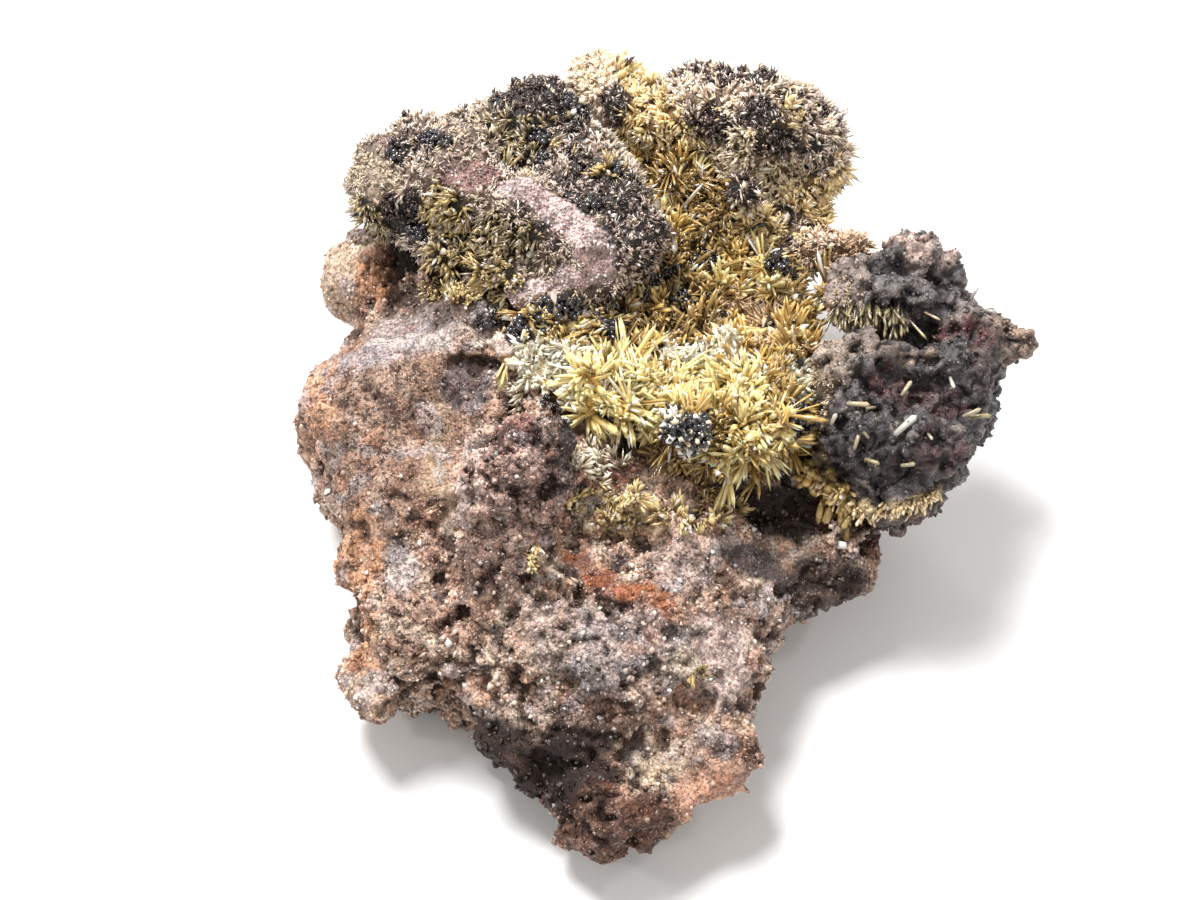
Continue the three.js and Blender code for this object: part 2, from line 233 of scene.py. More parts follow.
class Finish:
    # one material, and the one way that its nodes are added
    def __init__(self, name, uniform):
        self.material = bpy.data.materials.new(name)
        self.material.use_nodes = True
        self.tree = self.material.node_tree
        self.shader = self.tree.nodes["Principled BSDF"]
        for socket, value in uniform.items():
            self.shader.inputs[socket].default_value = value

    def node(self, kind, settings=None, inputs=None, output=0):
        made = self.tree.nodes.new("ShaderNode" + kind)
        for name, value in (settings or {}).items():
            setattr(made, name, value)
        for name, value in (inputs or {}).items():
            self.feed(made.inputs[name], value)
        return Wire(self, made.outputs[output])

    def feed(self, socket, value):
        if isinstance(value, Wire):
            self.tree.links.new(value.socket, socket)
        else:
            socket.default_value = value

    def mix(self, kind, share, first, second):
        settings = {"data_type": "RGBA", "blend_type": kind}
        return self.node("Mix", settings, {0: share, 6: first, 7: second}, output=2)

    def grey(self, value):
        return self.node("CombineColor", None, {0: value, 1: value, 2: value})

    def speckle(self, size, detail=2, roughness=0.6):
        # noise whose swells are `size` millimetres across
        place = self.node("TexCoord", output="Object")
        scale = 1 / (size * millimetre)
        inputs = {"Vector": place, "Scale": scale, "Detail": detail, "Roughness": roughness}
        return self.node("TexNoise", None, inputs)

    def spread(self, value, low, high, least=0, most=1):
        inputs = {"Value": value, 1: low, 2: high, 3: least, 4: most}
        return self.node("MapRange", {"interpolation_type": "SMOOTHSTEP"}, inputs)

    def raised(self, height, distance):
        inputs = {"Height": height, "Distance": distance * millimetre}
        self.feed(self.shader.inputs["Normal"], self.node("Bump", None, inputs))

    def own(self, attribute="tint", output=0):
        return self.node("Attribute", {"attribute_name": attribute}, output=output)


def granular(name, look):
    # a rough mineral surface: its own colours, pores painted dark as shade between the grains, and small
    # bright flecks
    made = Finish(name, {"IOR": look["ior"]})
    grit = made.speckle(look["grit"], 4, 0.65)
    coarse = made.speckle(look["coarse"], 3)
    pore = made.spread(made.speckle(look["pore"], 3, 0.7), *look["pored"]) * made.own("pitted", 2)
    shade = made.spread(grit, 0.33, 0.66, look["darkest"], look["lightest"])
    shade = shade * made.spread(coarse, 0.3, 0.7, 0.8, 1.16)
    surfaceColour = made.mix("MULTIPLY", 1.0, made.own(), made.grey(shade))
    # painted shade: the pores are darkened as if in shadow
    surfaceColour = made.mix("MIX", pore * 0.85, surfaceColour, (*paint(look["poreShade"]), 1))
    flecks = made.spread(made.speckle(look["fleck"], 1), *look["flecked"])
    bright = flecks * made.spread(made.own("tint", 2), *look["lit"])
    flecked = made.mix("MIX", bright * look["paleness"], surfaceColour, (*look["pale"], 1))
    made.feed(made.shader.inputs["Base Color"], flecked)
    made.feed(made.shader.inputs["Roughness"], look["rough"] - 0.5 * bright)
    made.raised(grit + coarse * 0.5 - pore * 0.9, look["raised"])
    return made


# The host rock, the oxide mass and the crusts that the needles grow from


def pushed(points, places):
    # how far the surface is pushed out, or in where that is below 0, round some places
    return sum(depth * near(points, at, (size, size, size), 0.3, 91) for at, size, depth in places)


def skin(name, node, shape):
    # a finer copy of a solid: broad relief on coarse faces, then fine relief on small ones
    piece = adopt(bpy.data.objects.new(name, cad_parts[node].data.copy()))
    piece.data.materials.clear()
    evened(piece, shape["coarse"], shape["softened"])
    points = placesOf(piece)
    out = shape["broad"](points) + pushed(points, shape["pushed"])
    moveTo(piece, points + outwardsOf(piece) * out[:, None])
    evened(piece, shape["fine"], 1)
    points = placesOf(piece)
    height, tone = shape["relief"](points)
    places = points + outwardsOf(piece) * height[:, None]
    places[:, 2] = np.clip(places[:, 2], 0, highest)
    moveTo(piece, places)
    tint(piece, shape["colours"](points, tone))
    pitted = piece.data.attributes.new("pitted", "FLOAT", "POINT")
    pitted.data.foreach_set("value", shape["pitted"](points).astype(np.float32))
    thinned(piece, mostTriangles)
    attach(piece, "root")
    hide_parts(node)
    say(f"{name}, {trianglesOf(piece)} triangles")
    return piece


rock = {
    "coarse": 0.8,
    "softened": 4,
    "fine": 0.43,
    "paints": [
        (152, 114, 92), (208, 174, 150), (184, 146, 122), (228, 200, 178), (170, 132, 112), (210, 172, 148),
    ],
    "crevice": (48, 29, 23),
    "patches": [
        # what shows, where, how far it reaches, its paint, how strongly, and how smooth the rock is there
        # partly its own colour and partly painted shade: the slab, which faces the key light, is darkened
        ("slab", (-35, -1, 26), (12, 16, 12), (130, 94, 74), 0.68, 0),
        ("grey quartz", (-31, 13, 26), (7, 5, 5), (180, 164, 160), 0.85, 0.5),
        ("end of the rib", (-21.6, 14.2, 28.3), (3.4, 1.5, 2.4), (228, 206, 198), 0.95, 0.3),
        ("foot of the rib", (-20.4, 11.8, 28), (3.2, 2.6, 3), (234, 216, 206), 0.95, 0.3),
        ("dark quartz", (-24.3, 5.2, 25), (3.4, 3.2, 4), (112, 100, 102), 0.85, 0.2),
        ("pale band", (-31, 10.6, 26), (5, 1.6, 4), (226, 212, 204), 0.7, 0.3),
        ("lavender band", (-35.6, 8, 26), (4, 1.8, 4), (172, 158, 160), 0.7, 0.4),
        ("orange left edge", (-43.4, 3, 24), (3, 7, 8), (212, 158, 122), 0.8, 0),
        ("orange lower edge", (-37.5, -19, 18), (3.6, 9, 9), (206, 150, 110), 0.85, 0.1),
        ("pale bulge", (-42.5, 24, 21), (4, 6, 8), (204, 176, 150), 0.8, 0.6),
        ("orange bulge", (-36, 22.5, 23), (3, 4.5, 6), (184, 126, 86), 0.9, 0),
        ("left of the block", (-23.8, -11, 31), (2.2, 10, 7), (222, 186, 164), 0.8, 0.2),
        ("yellow streak", (-27.5, -5, 27), (2, 9, 4), (184, 158, 120), 0.5, 0),
        ("dark top of the block", (-13.4, -7.6, 33.6), (4.6, 3.2, 3.6), (54, 48, 52), 0.95, 0),
        ("grey of the block", (-11.4, -11.4, 31.6), (3, 2.2, 3), (82, 76, 80), 0.95, 0),
        ("pink of the block", (-20.4, -13, 33.6), (2.8, 5, 4), (198, 158, 142), 0.85, 0),
        ("red of the block", (-17.6, -6.6, 34), (3.4, 3, 3), (150, 104, 94), 0.8, 0),
        ("front of the block", (-16.6, -14.5, 31), (7, 7, 6), (158, 126, 116), 0.8, 0),
        ("crest of the block", (-23, -10.6, 32), (1.9, 7.4, 5), (238, 204, 188), 0.98, 0.4),
        ("right of the block", (-11, -13, 27), (2.6, 3.6, 5), (176, 148, 138), 0.6, 0),
        ("foot of the block", (-20, -20.5, 27), (6, 4.5, 5), (118, 90, 80), 0.8, 0),
        ("smooth rust", (-10.2, -18.4, 23.8), (2.4, 1.5, 3), (136, 74, 42), 0.98, 0.8),
        ("smooth rust", (-7.4, -20.4, 23.4), (2.6, 1.7, 3), (142, 78, 44), 0.98, 0.8),
        ("smooth rust", (-4.6, -22.4, 23.4), (2.4, 1.8, 3), (152, 84, 46), 0.98, 0.6),
        ("rust crumbs", (-1.6, -24.2, 24), (2.8, 2.8, 4), (168, 98, 52), 0.95, 0),
        ("rust dot", (-1.1, -27.6, 22.8), (1.2, 1.1, 2), (214, 130, 70), 1, 0.2),
        ("white quartz", (-31.5, -19, 21), (2.6, 3, 4), (214, 200, 194), 0.8, 0.4),
        ("grey sparkle", (-12, -28, 23), (6, 4, 5), (190, 168, 158), 0.8, 0.3),
        ("round grey lump", (-8, -32.6, 21), (3.4, 3.2, 4), (142, 132, 128), 0.9, 0.1),
        ("brown crumbs", (-7, -38, 16), (8, 4.5, 6), (138, 104, 90), 0.85, 0),
        ("dark strip", (-12, -42.6, 11), (8, 3, 6), (50, 37, 32), 0.92, 0),
        ("tail", (-5, -47.6, 10), (8, 5, 10), (94, 54, 36), 0.92, 0.2),
        # painted shade: the lower left wall, which faces down, is darkened
        ("painted shade on the lower left wall", (-19, -38.6, 9), (14, 6, 9), (44, 28, 23), 0.97, 0),
        ("pale lump", (-1, -40, 15.5), (4, 3.4, 5), (214, 190, 160), 0.8, 0.3),
        ("pink foot", (6, -44, 10), (5, 4.5, 6), (204, 152, 126), 0.9, 0.8),
        ("top of the foot", (8, -40.5, 14), (5, 3.6, 4), (168, 130, 112), 0.7, 0),
        ("pale pink lumps", (7, -30, 19), (6.5, 6, 6), (216, 190, 182), 0.85, 0.5),
        ("pale yellow lumps", (2, -30, 20), (3, 3, 5), (212, 196, 172), 0.6, 0.3),
        ("lavender lumps", (-4, -28.6, 22.6), (5, 4, 5), (198, 178, 172), 0.8, 0.4),
        ("brown lump", (11.5, -22, 18), (3.4, 3.4, 5), (148, 114, 100), 0.7, 0),
        ("grey wall", (19, -17, 13), (9, 4, 6), (76, 62, 56), 0.92, 0.1),
        ("grey shelf", (11, -16.4, 19), (9, 2.2, 5), (84, 72, 72), 0.95, 0.7),
        ("below the shelf", (13, -21, 17), (7, 2.6, 5), (168, 142, 126), 0.8, 0),
        ("pale shelf", (3, -19, 22.5), (5, 4, 4), (196, 172, 162), 0.7, 0.2),
        # painted shadow under the overhanging front edge of the hollow
        ("painted shadow under the front edge", (14, -8.8, 18), (11, 3.6, 5), (34, 26, 22), 0.96, 0),
        ("red brown ledge", (-7, -8.5, 27), (4.5, 3.4, 4), (136, 84, 62), 0.85, 0),
        ("cream ledge", (-5, -13, 24), (5, 2.6, 3), (200, 176, 130), 0.7, 0),
        ("red spots", (7, -12.5, 23), (3, 2, 3), (180, 114, 84), 0.6, 0),
        # painted shade: a near-black patch in the pocket that is pushed into the rock
        ("painted shade in the pocket", (-31, 25.5, 27), (4.5, 4, 5), (30, 24, 24), 0.95, 0),
        ("under the mass", (28, -8, 12), (9, 6, 10), (116, 66, 52), 0.85, 0),
        ("floor of the hollow", (0, 14, 23), (20, 15, 4), (168, 134, 80), 0.9, 0),
        # painted shade under the overhanging ridge
        ("painted shade under the ridge", (-25, 17, 28), (8, 4, 4), (74, 54, 48), 0.85, 0),
    ],
    "pushed": [
        # where, how wide, and how far out, or in where that is below 0
        ((3.2, -33.8, 16.6), 2.3, -2.6), ((6, -33.6, 16.6), 1.7, -2), ((-11.2, -33, 19.5), 1.3, -2),
        ((-10, -35.4, 18.6), 1.5, -2.2), ((-7.2, -36.2, 18), 1.6, -2), ((-8, -32.4, 21), 2.6, 1.1),
        ((-9.4, -16, 25), 1.9, -1.8), ((-6, -15.3, 23.6), 1.5, -2), ((-3, -15.6, 22.8), 1.5, -2.2),
        ((0, -15.8, 22.8), 1.3, -2), ((-30.4, 25.4, 27.5), 2.6, -2.2), ((9.5, -43.6, 12), 1.2, -1.4),
        ((-24.5, -25, 22), 1.6, -1.5), ((-27, -32, 15), 2, -1.4), ((-14, -40, 12), 2.4, -1.8),
        ((-2.4, -43.6, 15), 1.5, -1.4), ((-13, -7, 34), 2.6, 0.9), ((-19, -11, 35), 3.4, 0.8),
        ((11.5, -22, 18.4), 2.2, 0.8), ((14, -19.6, 15.4), 1.8, -1.6), ((-9.4, -12, 26), 1.8, -1.2),
        ((-19, -24, 24.4), 2.6, -1.3), ((-13.6, -22, 24.4), 2.2, -1.2), ((-26.2, -2.4, 28.4), 1.6, -1.2),
        ((-26.4, -8, 29), 1.8, -1.5), ((-26.6, -14, 28), 1.8, -1.5), ((-44.6, -3.4, 20), 5, -2),
        ((-44.7, 6.4, 20), 4.4, 1.2), ((-43, 24, 20), 5, 0.7), ((-40.7, -9.5, 16), 3.4, -1.7),
        ((-38.7, -15, 16), 3.2, 1.8), ((-38.5, -21.4, 12), 4.6, -1.8), ((-36.9, -29, 10), 5, 2.8),
        ((-28, -34, 8), 6, -1.4), ((-13.5, -44, 6), 5, 2.2), ((-8.7, -48, 5), 4, 1.7),
        ((-0.8, -50, 8), 4.6, -1.8), ((7.5, -42.5, 8), 4.4, -1.9), ((11.7, -30, 10), 4.4, 1.6),
        ((22.4, -17, 9), 6, 2.4), ((15, -24, 14), 4, 0.8), ((-22.6, -7, 33), 1.7, 1),
        ((-22.9, -10, 32.8), 1.7, 1), ((-23.2, -13, 32.4), 1.7, 1), ((-23.8, -15.8, 29), 1.7, 0.9),
        ((-18.8, -9.4, 34.6), 1.8, -0.7), ((-21.6, 14.2, 28.3), 1.6, 0.8), ((-12.4, -8, 33.6), 1.8, 1.2),
        ((-16.4, -10.4, 34.6), 1.6, -1), ((12, -8.6, 20), 3, -1.8), ((17.6, -9.6, 18.4), 3, -1.8),
    ],
}


def smoothness(points):
    total = np.zeros(len(points))
    for _, at, reach, _, _, smooth in rock["patches"]:
        if smooth:
            total = np.maximum(total, smooth * near(points, at, reach))
    return total


def ruggedness(points):
    # the slab at the upper left is calmer than the rest
    return 1 - 0.68 * near(points, (-36, -1, 24), (14, 16, 18), 0.3, 55)


def rockPitted(points):
    return (1 - smoothness(points)) * ease(-0.5, 0.2, noise(points, 5, 57))


def rockBroad(points):
    loose = bent(points, 6, 2.4, 1)
    boulders = 0.55 - grains(loose, 6.5, 3)[0]
    lumps = 0.5 - grains(bent(points, 3, 1.3, 5), 3.2, 6)[0]
    cracks = ease(0.13, 0, np.abs(noise(loose, 5.5, 9)))
    hollows = ease(0.25, 0.65, cloudy(loose, 4.6, 2, 11))
    rising = (points @ np.array((0.28, 0.5, 0.82))) / 4.4 + 0.5 * noise(points, 8, 13)
    step = rising - np.floor(rising)
    ledges = ease(0, 0.18, step) * (1 - step) * ease(-0.3, 0.5, noise(points, 14, 15))
    rough = (1 - smoothness(points)) * ruggedness(points)
    soft = 0.9 * cloudy(points, 9, 2, 17) + 1.1 * boulders * ruggedness(points)
    soft = soft + 1.3 * lumps * (0.25 + 0.75 * rough)
    return soft + (1.6 * ledges - 1.1 * cracks - 1.7 * hollows) * rough - 0.45


def rockRelief(points):
    loose = bent(points, 1.8, 0.8, 19)
    crumb, crumbIs = grains(loose, 2.1, 21)
    grit, gritIs = grains(loose, 0.95, 31)
    pores = ease(0.1, 0.45, noise(loose, 1.5, 41)) * ease(-0.4, 0.3, noise(points, 6, 42))
    chips = ease(0.1, 0, np.abs(noise(loose, 2.3, 44)))
    rough = (1 - smoothness(points)) * (0.35 + 0.65 * ruggedness(points))
    height = (0.5 - crumb - 0.9 * pores - 0.5 * chips) * rough
    height = height + 0.65 * (0.5 - grit) * (0.35 + 0.65 * rough)
    low, high = ease(0.02, -0.6, height), ease(0.05, 0.4, height)
    return height, {"low": low, "high": high, "crumb": crumbIs, "grit": gritIs}


def rockColours(points, tone):
    colours = mottled(points, rock["paints"], 8, 51)
    for _, at, reach, patch, strength, _ in rock["patches"]:
        colours = blend(colours, paint(patch), strength * near(points, at, reach, 0.45, 53))
    crumb = tone["crumb"]
    lit = ease(0.02, 0.3, colours.mean(1))
    colours = blend(colours, paint((176, 166, 168)), 0.6 * lit * ease(0.82, 0.9, crumb))
    colours = blend(colours, paint((180, 114, 82)), 0.5 * lit * ease(0.1, 0.04, crumb))
    colours = blend(colours, paint((104, 76, 66)), 0.6 * ease(0.04, 0, np.abs(crumb - 0.3)))
    colours = colours * (0.7 + 0.5 * tone["grit"])[:, None]
    # painted shade: darker where the relief is low, in the crevices
    colours = blend(colours, paint(rock["crevice"]), 0.85 * tone["low"])
    # painted highlight: lighter on the tops of the grains where the relief stands high
    return blend(colours, paint((246, 228, 216)), 0.4 * lit * tone["high"] * tone["grit"])


rock.update(broad=rockBroad, relief=rockRelief, colours=rockColours, pitted=rockPitted)

oxide = {
    "coarse": 0.85,
    "softened": 3,
    "fine": 0.31,
    "paints": [(44, 38, 41), (94, 88, 88), (54, 46, 49), (124, 116, 112), (62, 42, 44)],
    "patches": [
        ("upper tier", (29, 14, 33), (9, 5, 5), (124, 115, 113), 0.6),
        ("top of the upper tier", (30, 19.8, 34), (5.4, 2.6, 3), (206, 176, 162), 0.92),
        ("left of the upper tier", (22.6, 14, 32.6), (2.8, 5, 5), (186, 164, 152), 0.8),
        ("tip", (44.5, 10.5, 27.5), (3.5, 4, 4), (168, 138, 118), 0.9),
        ("right shoulder", (37, 10, 30), (3.4, 3, 3), (150, 132, 126), 0.6),
        ("left of the middle tier", (20, 3, 32), (3.4, 4, 4), (196, 172, 154), 0.85),
        ("tan patch", (19, -3, 21.6), (2, 2.2, 3), (222, 186, 146), 0.95),
        ("tan crest", (31, 4.6, 32.6), (2.6, 1.4, 1.6), (206, 178, 150), 0.75),
        ("tan flecks", (24.6, 4.4, 35.4), (3.4, 1.4, 1.4), (170, 146, 130), 0.6),
        ("lower tier", (28, -4, 29), (11, 7, 6), (52, 44, 46), 0.65),
        ("red recess", (34, 9.4, 30.6), (8, 2.4, 4), (88, 38, 34), 0.95),
        ("red hollow", (32, 0, 30), (5, 2.4, 4), (72, 28, 28), 0.95),
        ("red slope", (26.6, 1, 32.6), (3.4, 2, 2.4), (92, 50, 48), 0.8),
        ("lower red", (32, -6.6, 29), (4.4, 2.6, 3), (78, 40, 40), 0.8),
        ("right red", (38.8, 4, 30), (4, 3, 3), (82, 48, 46), 0.6),
        ("lower edge", (20, -7.4, 20.4), (3.4, 2.4, 2.4), (212, 176, 116), 0.95),
        ("front edge", (25.4, -11.2, 22.8), (3.8, 1.3, 1.5), (222, 194, 148), 0.95),
        ("right front edge", (31.4, -11, 24), (3.6, 1.2, 1.5), (196, 168, 126), 0.9),
        ("right edge", (36, -8.4, 23.4), (2.8, 1.4, 1.6), (170, 146, 116), 0.7),
        ("red wall", (30, -9.4, 15), (9, 5, 7), (120, 68, 54), 0.85),
        ("underside", (28, 0, 8), (14, 16, 8), (118, 70, 56), 0.85),
    ],
    "pushed": [
        ((32, 0.4, 30.6), 2.8, -1.7), ((22.6, 8.4, 33), 2.8, -2.6), ((27.4, 8.2, 33), 2.8, -2.6),
        ((32, 8.6, 32), 2.6, -2.1), ((22.4, 15, 31), 3.4, 1.3), ((35.8, -6.8, 19), 4.4, 1.5),
        ((30.6, 19.8, 33.8), 4, 1.2), ((24.6, -1.4, 32.2), 2, -0.9), ((34, 9.5, 30), 2.6, -1.2),
        ((21.4, -6, 29), 1.6, -0.9), ((36, 5.4, 31), 1.8, 1), ((27, 5.4, 31.8), 2.2, 0.9),
        ((38.5, 9, 29.5), 1.4, 1), ((24.5, -4.6, 31.6), 1.8, 0.8), ((30, -4.4, 31), 1.8, 0.8),
    ],
}


def evenly(points):
    return np.ones(len(points))


def dome(away):
    # how high a round lump stands so far from its middle, from 1 down to 0
    return np.sqrt(np.clip(1 - (away / 0.72) ** 2, 0, 1))


def oxideBroad(points):
    away = grains(bent(points, 4, 1, 60), 3.4, 61)[0]
    creased = ease(0.16, 0, np.abs(noise(bent(points, 3, 1, 68), 3.4, 69)))
    return 1.8 * dome(away) - 0.8 * creased - 1 + 0.6 * noise(points, 7, 62)


def oxideRelief(points):
    loose = bent(points, 2, 0.5, 64)
    knob, knobIs = grains(loose, 2, 63)
    bead, beadIs = grains(loose, 0.85, 66)
    height = 1.2 * (dome(knob) - 0.6)
    height = height + 0.6 * (0.5 - bead) - 0.7 * ease(0.15, 0.55, noise(loose, 2.4, 67))
    height = height - 0.55 * ease(0.1, 0, np.abs(noise(loose, 2.1, 65)))
    low, high = ease(-0.05, -0.7, height), ease(0.15, 0.5, height)
    return height, {"low": low, "high": high, "bead": beadIs, "knob": knobIs}


def oxideColours(points, tone):
    colours = mottled(points, oxide["paints"], 4, 71)
    for _, at, reach, patch, strength in oxide["patches"]:
        colours = blend(colours, paint(patch), strength * near(points, at, reach, 0.5, 73))
    colours = colours * (0.34 + 0.8 * tone["bead"])[:, None]
    colours = blend(colours, paint((52, 22, 22)), 0.55 * ease(0.1, 0.9, tone["low"]))
    # painted shade: near black where the relief is deepest
    colours = blend(colours, paint((16, 9, 11)), 0.8 * ease(0.5, 1, tone["low"]))
    # painted highlight: lighter on the tops of some knobs
    return blend(colours, paint((170, 156, 148)), 0.5 * tone["high"] * ease(0.4, 0.8, tone["knob"]))


oxide.update(broad=oxideBroad, relief=oxideRelief, colours=oxideColours, pitted=evenly)


def kindsAt(points, shape, jitter=0):
    # which of a growth's kinds of crystal wins at each point
    names = list(shape["kinds"])
    score = jitter * random.random((len(points), len(names)))
    hills = cloudy(points, 4.2, 3, shape["seed"])
    for place, crystal in enumerate(shape["kinds"].values()):
        cloud = cloudy(points, crystal["patch"] or shape["patch"], 2, shape["seed"] + 10 * place)
        score[:, place] += crystal["common"] + shape["patchy"] * cloud
        score[:, place] += crystal["hilly"] * hills
    for name, zones in shape["zones"].items():
        for at, reach, strength in zones:
            score[:, names.index(name)] += strength * near(points, at, reach, 0.35, shape["seed"] + 3)
    return score.argmax(1)


def lookOf(shape, which, key):
    return np.array([crystal[key] for crystal in shape["kinds"].values()], float)[which]


def crustBroad(shape):
    return lambda points: shape["swell"] * cloudy(points, 4.2, 3, shape["seed"]) - shape["sink"]


def crustRelief(shape):
    def relief(points):
        away, grain = grains(points, shape["grain"], shape["seed"] + 3)
        height = shape["height"] * (0.45 - away)
        return height, {"low": ease(0, -0.4, height), "grain": grain}

    return relief


def crustColours(shape):
    def colours(points, tone):
        found = paint(lookOf(shape, kindsAt(points, shape, 0.1), "ground"))
        shade = (0.6 + 0.6 * tone["grain"]) * (1 + 0.25 * noise(points, 2.2, shape["seed"] + 5))
        # painted shade: darker where the relief is low, in the dips between the grains
        return blend(found * shade[:, None], paint(shape["crevice"]), 0.7 * tone["low"])

    return colours


def kind(common, ground, root, tip, length, width, lean=48, fan=32, full=1, pale=0.03, patch=None, hilly=0):
    # `common` is how readily it grows, `lean` how far its sheaves lean and `fan` how wide each opens, in
    # degrees; `full` is the share of its places that it fills, `pale` the share of white needles among its
    # own, `patch` the size of its patches and `hilly` how it keeps to hills or, below 0, to dips
    return {"common": common, "ground": ground, "root": root, "tip": tip, "length": length, "width": width,
            "lean": lean, "fan": fan, "full": full, "pale": pale, "patch": patch, "hilly": hilly}


hollow = {
    "coarse": 0.95,
    "softened": 6,
    "fine": 0.72,
    "swell": 1.7,
    "sink": 0.5,
    "grain": 1.4,
    "height": 0.7,
    "crevice": (116, 82, 42),
    "seed": 101,
    "patch": 3.4,
    "patchy": 0.55,
    "spacing": 1.0,
    "each": 7,
    "room": 1.0,
    "lift": 0.25,
    "rooted": 0.6,
    "uneven": 0.38,
    "strays": 0.08,
    "kinds": {
        "gold": kind(0.6, (112, 76, 34), (136, 100, 44), (210, 176, 106), 2.9, 0.23, 66, 38, 0.92, 0.05),
        "lemon": kind(
            0.3, (246, 196, 108), (255, 214, 124), (255, 238, 174), 2.9, 0.26, 64, 36, 1, 0.1, hilly=0.6,
        ),
        "cream": kind(
            0.1, (255, 234, 196), (255, 240, 202), (255, 250, 226), 1.6, 0.23, 66, 56, 1, 0.12, hilly=0.5,
        ),
        "peach": kind(0.1, (166, 122, 78), (186, 142, 98), (240, 206, 164), 2.4, 0.18, 66, 46, 1, 0.1),
        # olive, a darker gold, keeps to the dips of the crust: partly the crystals' own colour, partly
        # painted shade in the dips
        "olive": kind(
            0.3, (68, 50, 26), (98, 73, 38), (184, 152, 96), 2.4, 0.2, 62, 42, 0.85, 0.05, hilly=-1.2,
        ),
        "fibres": kind(-0.3, (140, 102, 68), (160, 116, 76), (240, 204, 160), 1.9, 0.11, 66, 55),
        "black": kind(0.05, (20, 17, 19), (12, 10, 13), (40, 36, 40), 1.2, 0.34, 40, 60, 1, 0.06, 1.6, -1),
        "salted": kind(-1, (24, 20, 22), (12, 10, 13), (40, 36, 40), 1.1, 0.32, 36, 60, 1, 0.3),
        "bare": kind(-1, (226, 202, 188), (220, 198, 176), (248, 236, 222), 0.7, 0.11, 40, 50, 0.15),
    },
    "zones": {
        "lemon": [
            ((1, 1.4, 30), (14, 4.6, 6), 0.8), ((-7, -1, 30), (6, 4, 5), 0.7),
            ((-1, 29, 29), (4, 4, 4), 0.5), ((-8, 4.4, 30.4), (4, 3, 4), 0.8),
        ],
        "cream": [
            ((-5, 2.4, 31), (3.4, 2.4, 4), 1), ((-13.4, 4.4, 29.6), (5.4, 4, 5), 2.1),
            ((-9, 0.4, 30), (3.4, 2.2, 4), 1.1), ((5, 8, 31), (9, 2.4, 4), 1.3),
            ((17, 3.6, 28.4), (2.4, 3.4, 3), 1.2),
        ],
        "gold": [((14, 5, 28), (7, 9, 6), 0.3)],
        "peach": [((2, 9, 31), (12, 2.6, 3), 0.6), ((14, 8, 27.6), (5, 6, 5), 0.6)],
        "fibres": [((9.6, 14, 26), (5, 3.6, 4), 1)],
        "olive": [
            ((-1, 13.8, 27), (9, 4.6, 4.4), 1.15), ((5, 22, 27), (12, 5, 5), 0.5),
            ((8, 31, 30), (9, 4, 5), 0.7), ((4, -6.4, 24), (16, 3.4, 4), 1.3),
        ],
        "bare": [
            ((-8, 14.8, 30), (3.4, 2.4, 4), 2.2), ((-13, 12.8, 30.4), (4, 2.3, 4), 2.2),
            ((-18.6, 9, 29), (3.4, 3.2, 4), 2.4),
        ],
        "black": [
            ((-12.4, 11.8, 29.4), (2.2, 1.1, 1.6), 1.9), ((-15, 10.4, 29.4), (2.2, 1.3, 1.8), 1.9),
            ((-17.4, 9, 29.6), (1.8, 1.2, 1.8), 1.9), ((-6.6, 11, 28.4), (1.7, 1.2, 1.6), 1.6),
            ((1.1, 21.1, 28.4), (1.6, 1.2, 1.4), 1.6), ((6.4, 22, 26.4), (2.2, 1.2, 1.4), 1.6),
            ((15.1, 21, 29), (1.2, 1.9, 2.4), 1.6), ((-0.8, 19, 26), (1.2, 1, 1.2), 1.4),
            ((-5, 13.6, 28), (1.2, 1, 1.4), 1.6), ((-2.4, 16.4, 26.6), (1.1, 0.9, 1.4), 1.5),
            ((2.7, 17, 26), (1.4, 0.9, 1.2), 1.6), ((8.4, 14.4, 26.4), (0.9, 0.8, 1.2), 1.5),
            ((6, 18.6, 26), (1, 0.8, 1.2), 1.5), ((-10.2, 1, 30.6), (0.9, 1.2, 1.2), 1.4),
            ((-7, -2.2, 28), (1.2, 1.2, 1.4), 1.4), ((13.8, 12, 26.9), (1, 1, 1.2), 1.3),
            ((17, -2.2, 27.2), (2, 2.4, 3), 2.2),
        ],
        "salted": [((2.2, -7, 32), (6.4, 2.6, 4), 2.6)],
    },
    "pushed": [
        ((-8, 15.2, 30), 2.6, 1.6), ((-13, 13.2, 30.4), 2.6, 1.8), ((-18.6, 10, 29), 2.4, 1.4),
        ((0.8, -6.6, 32.6), 2.6, 2), ((4, -6.4, 32.8), 2.6, 2.2), ((20.4, 17.2, 26), 2.6, -1.3),
        ((-12.8, 11.6, 29.4), 1.7, 1.3), ((-15.6, 10.2, 29.4), 1.7, 1.3), ((-6.6, 11, 28.4), 1.6, 1.1),
        ((1.1, 21.1, 28.4), 1.6, 1.3), ((6.4, 22, 26.4), 1.7, 1.3), ((15.1, 21, 29), 1.6, 1.2),
        ((17, -2, 27.4), 1.9, 1.3),
    ],
}

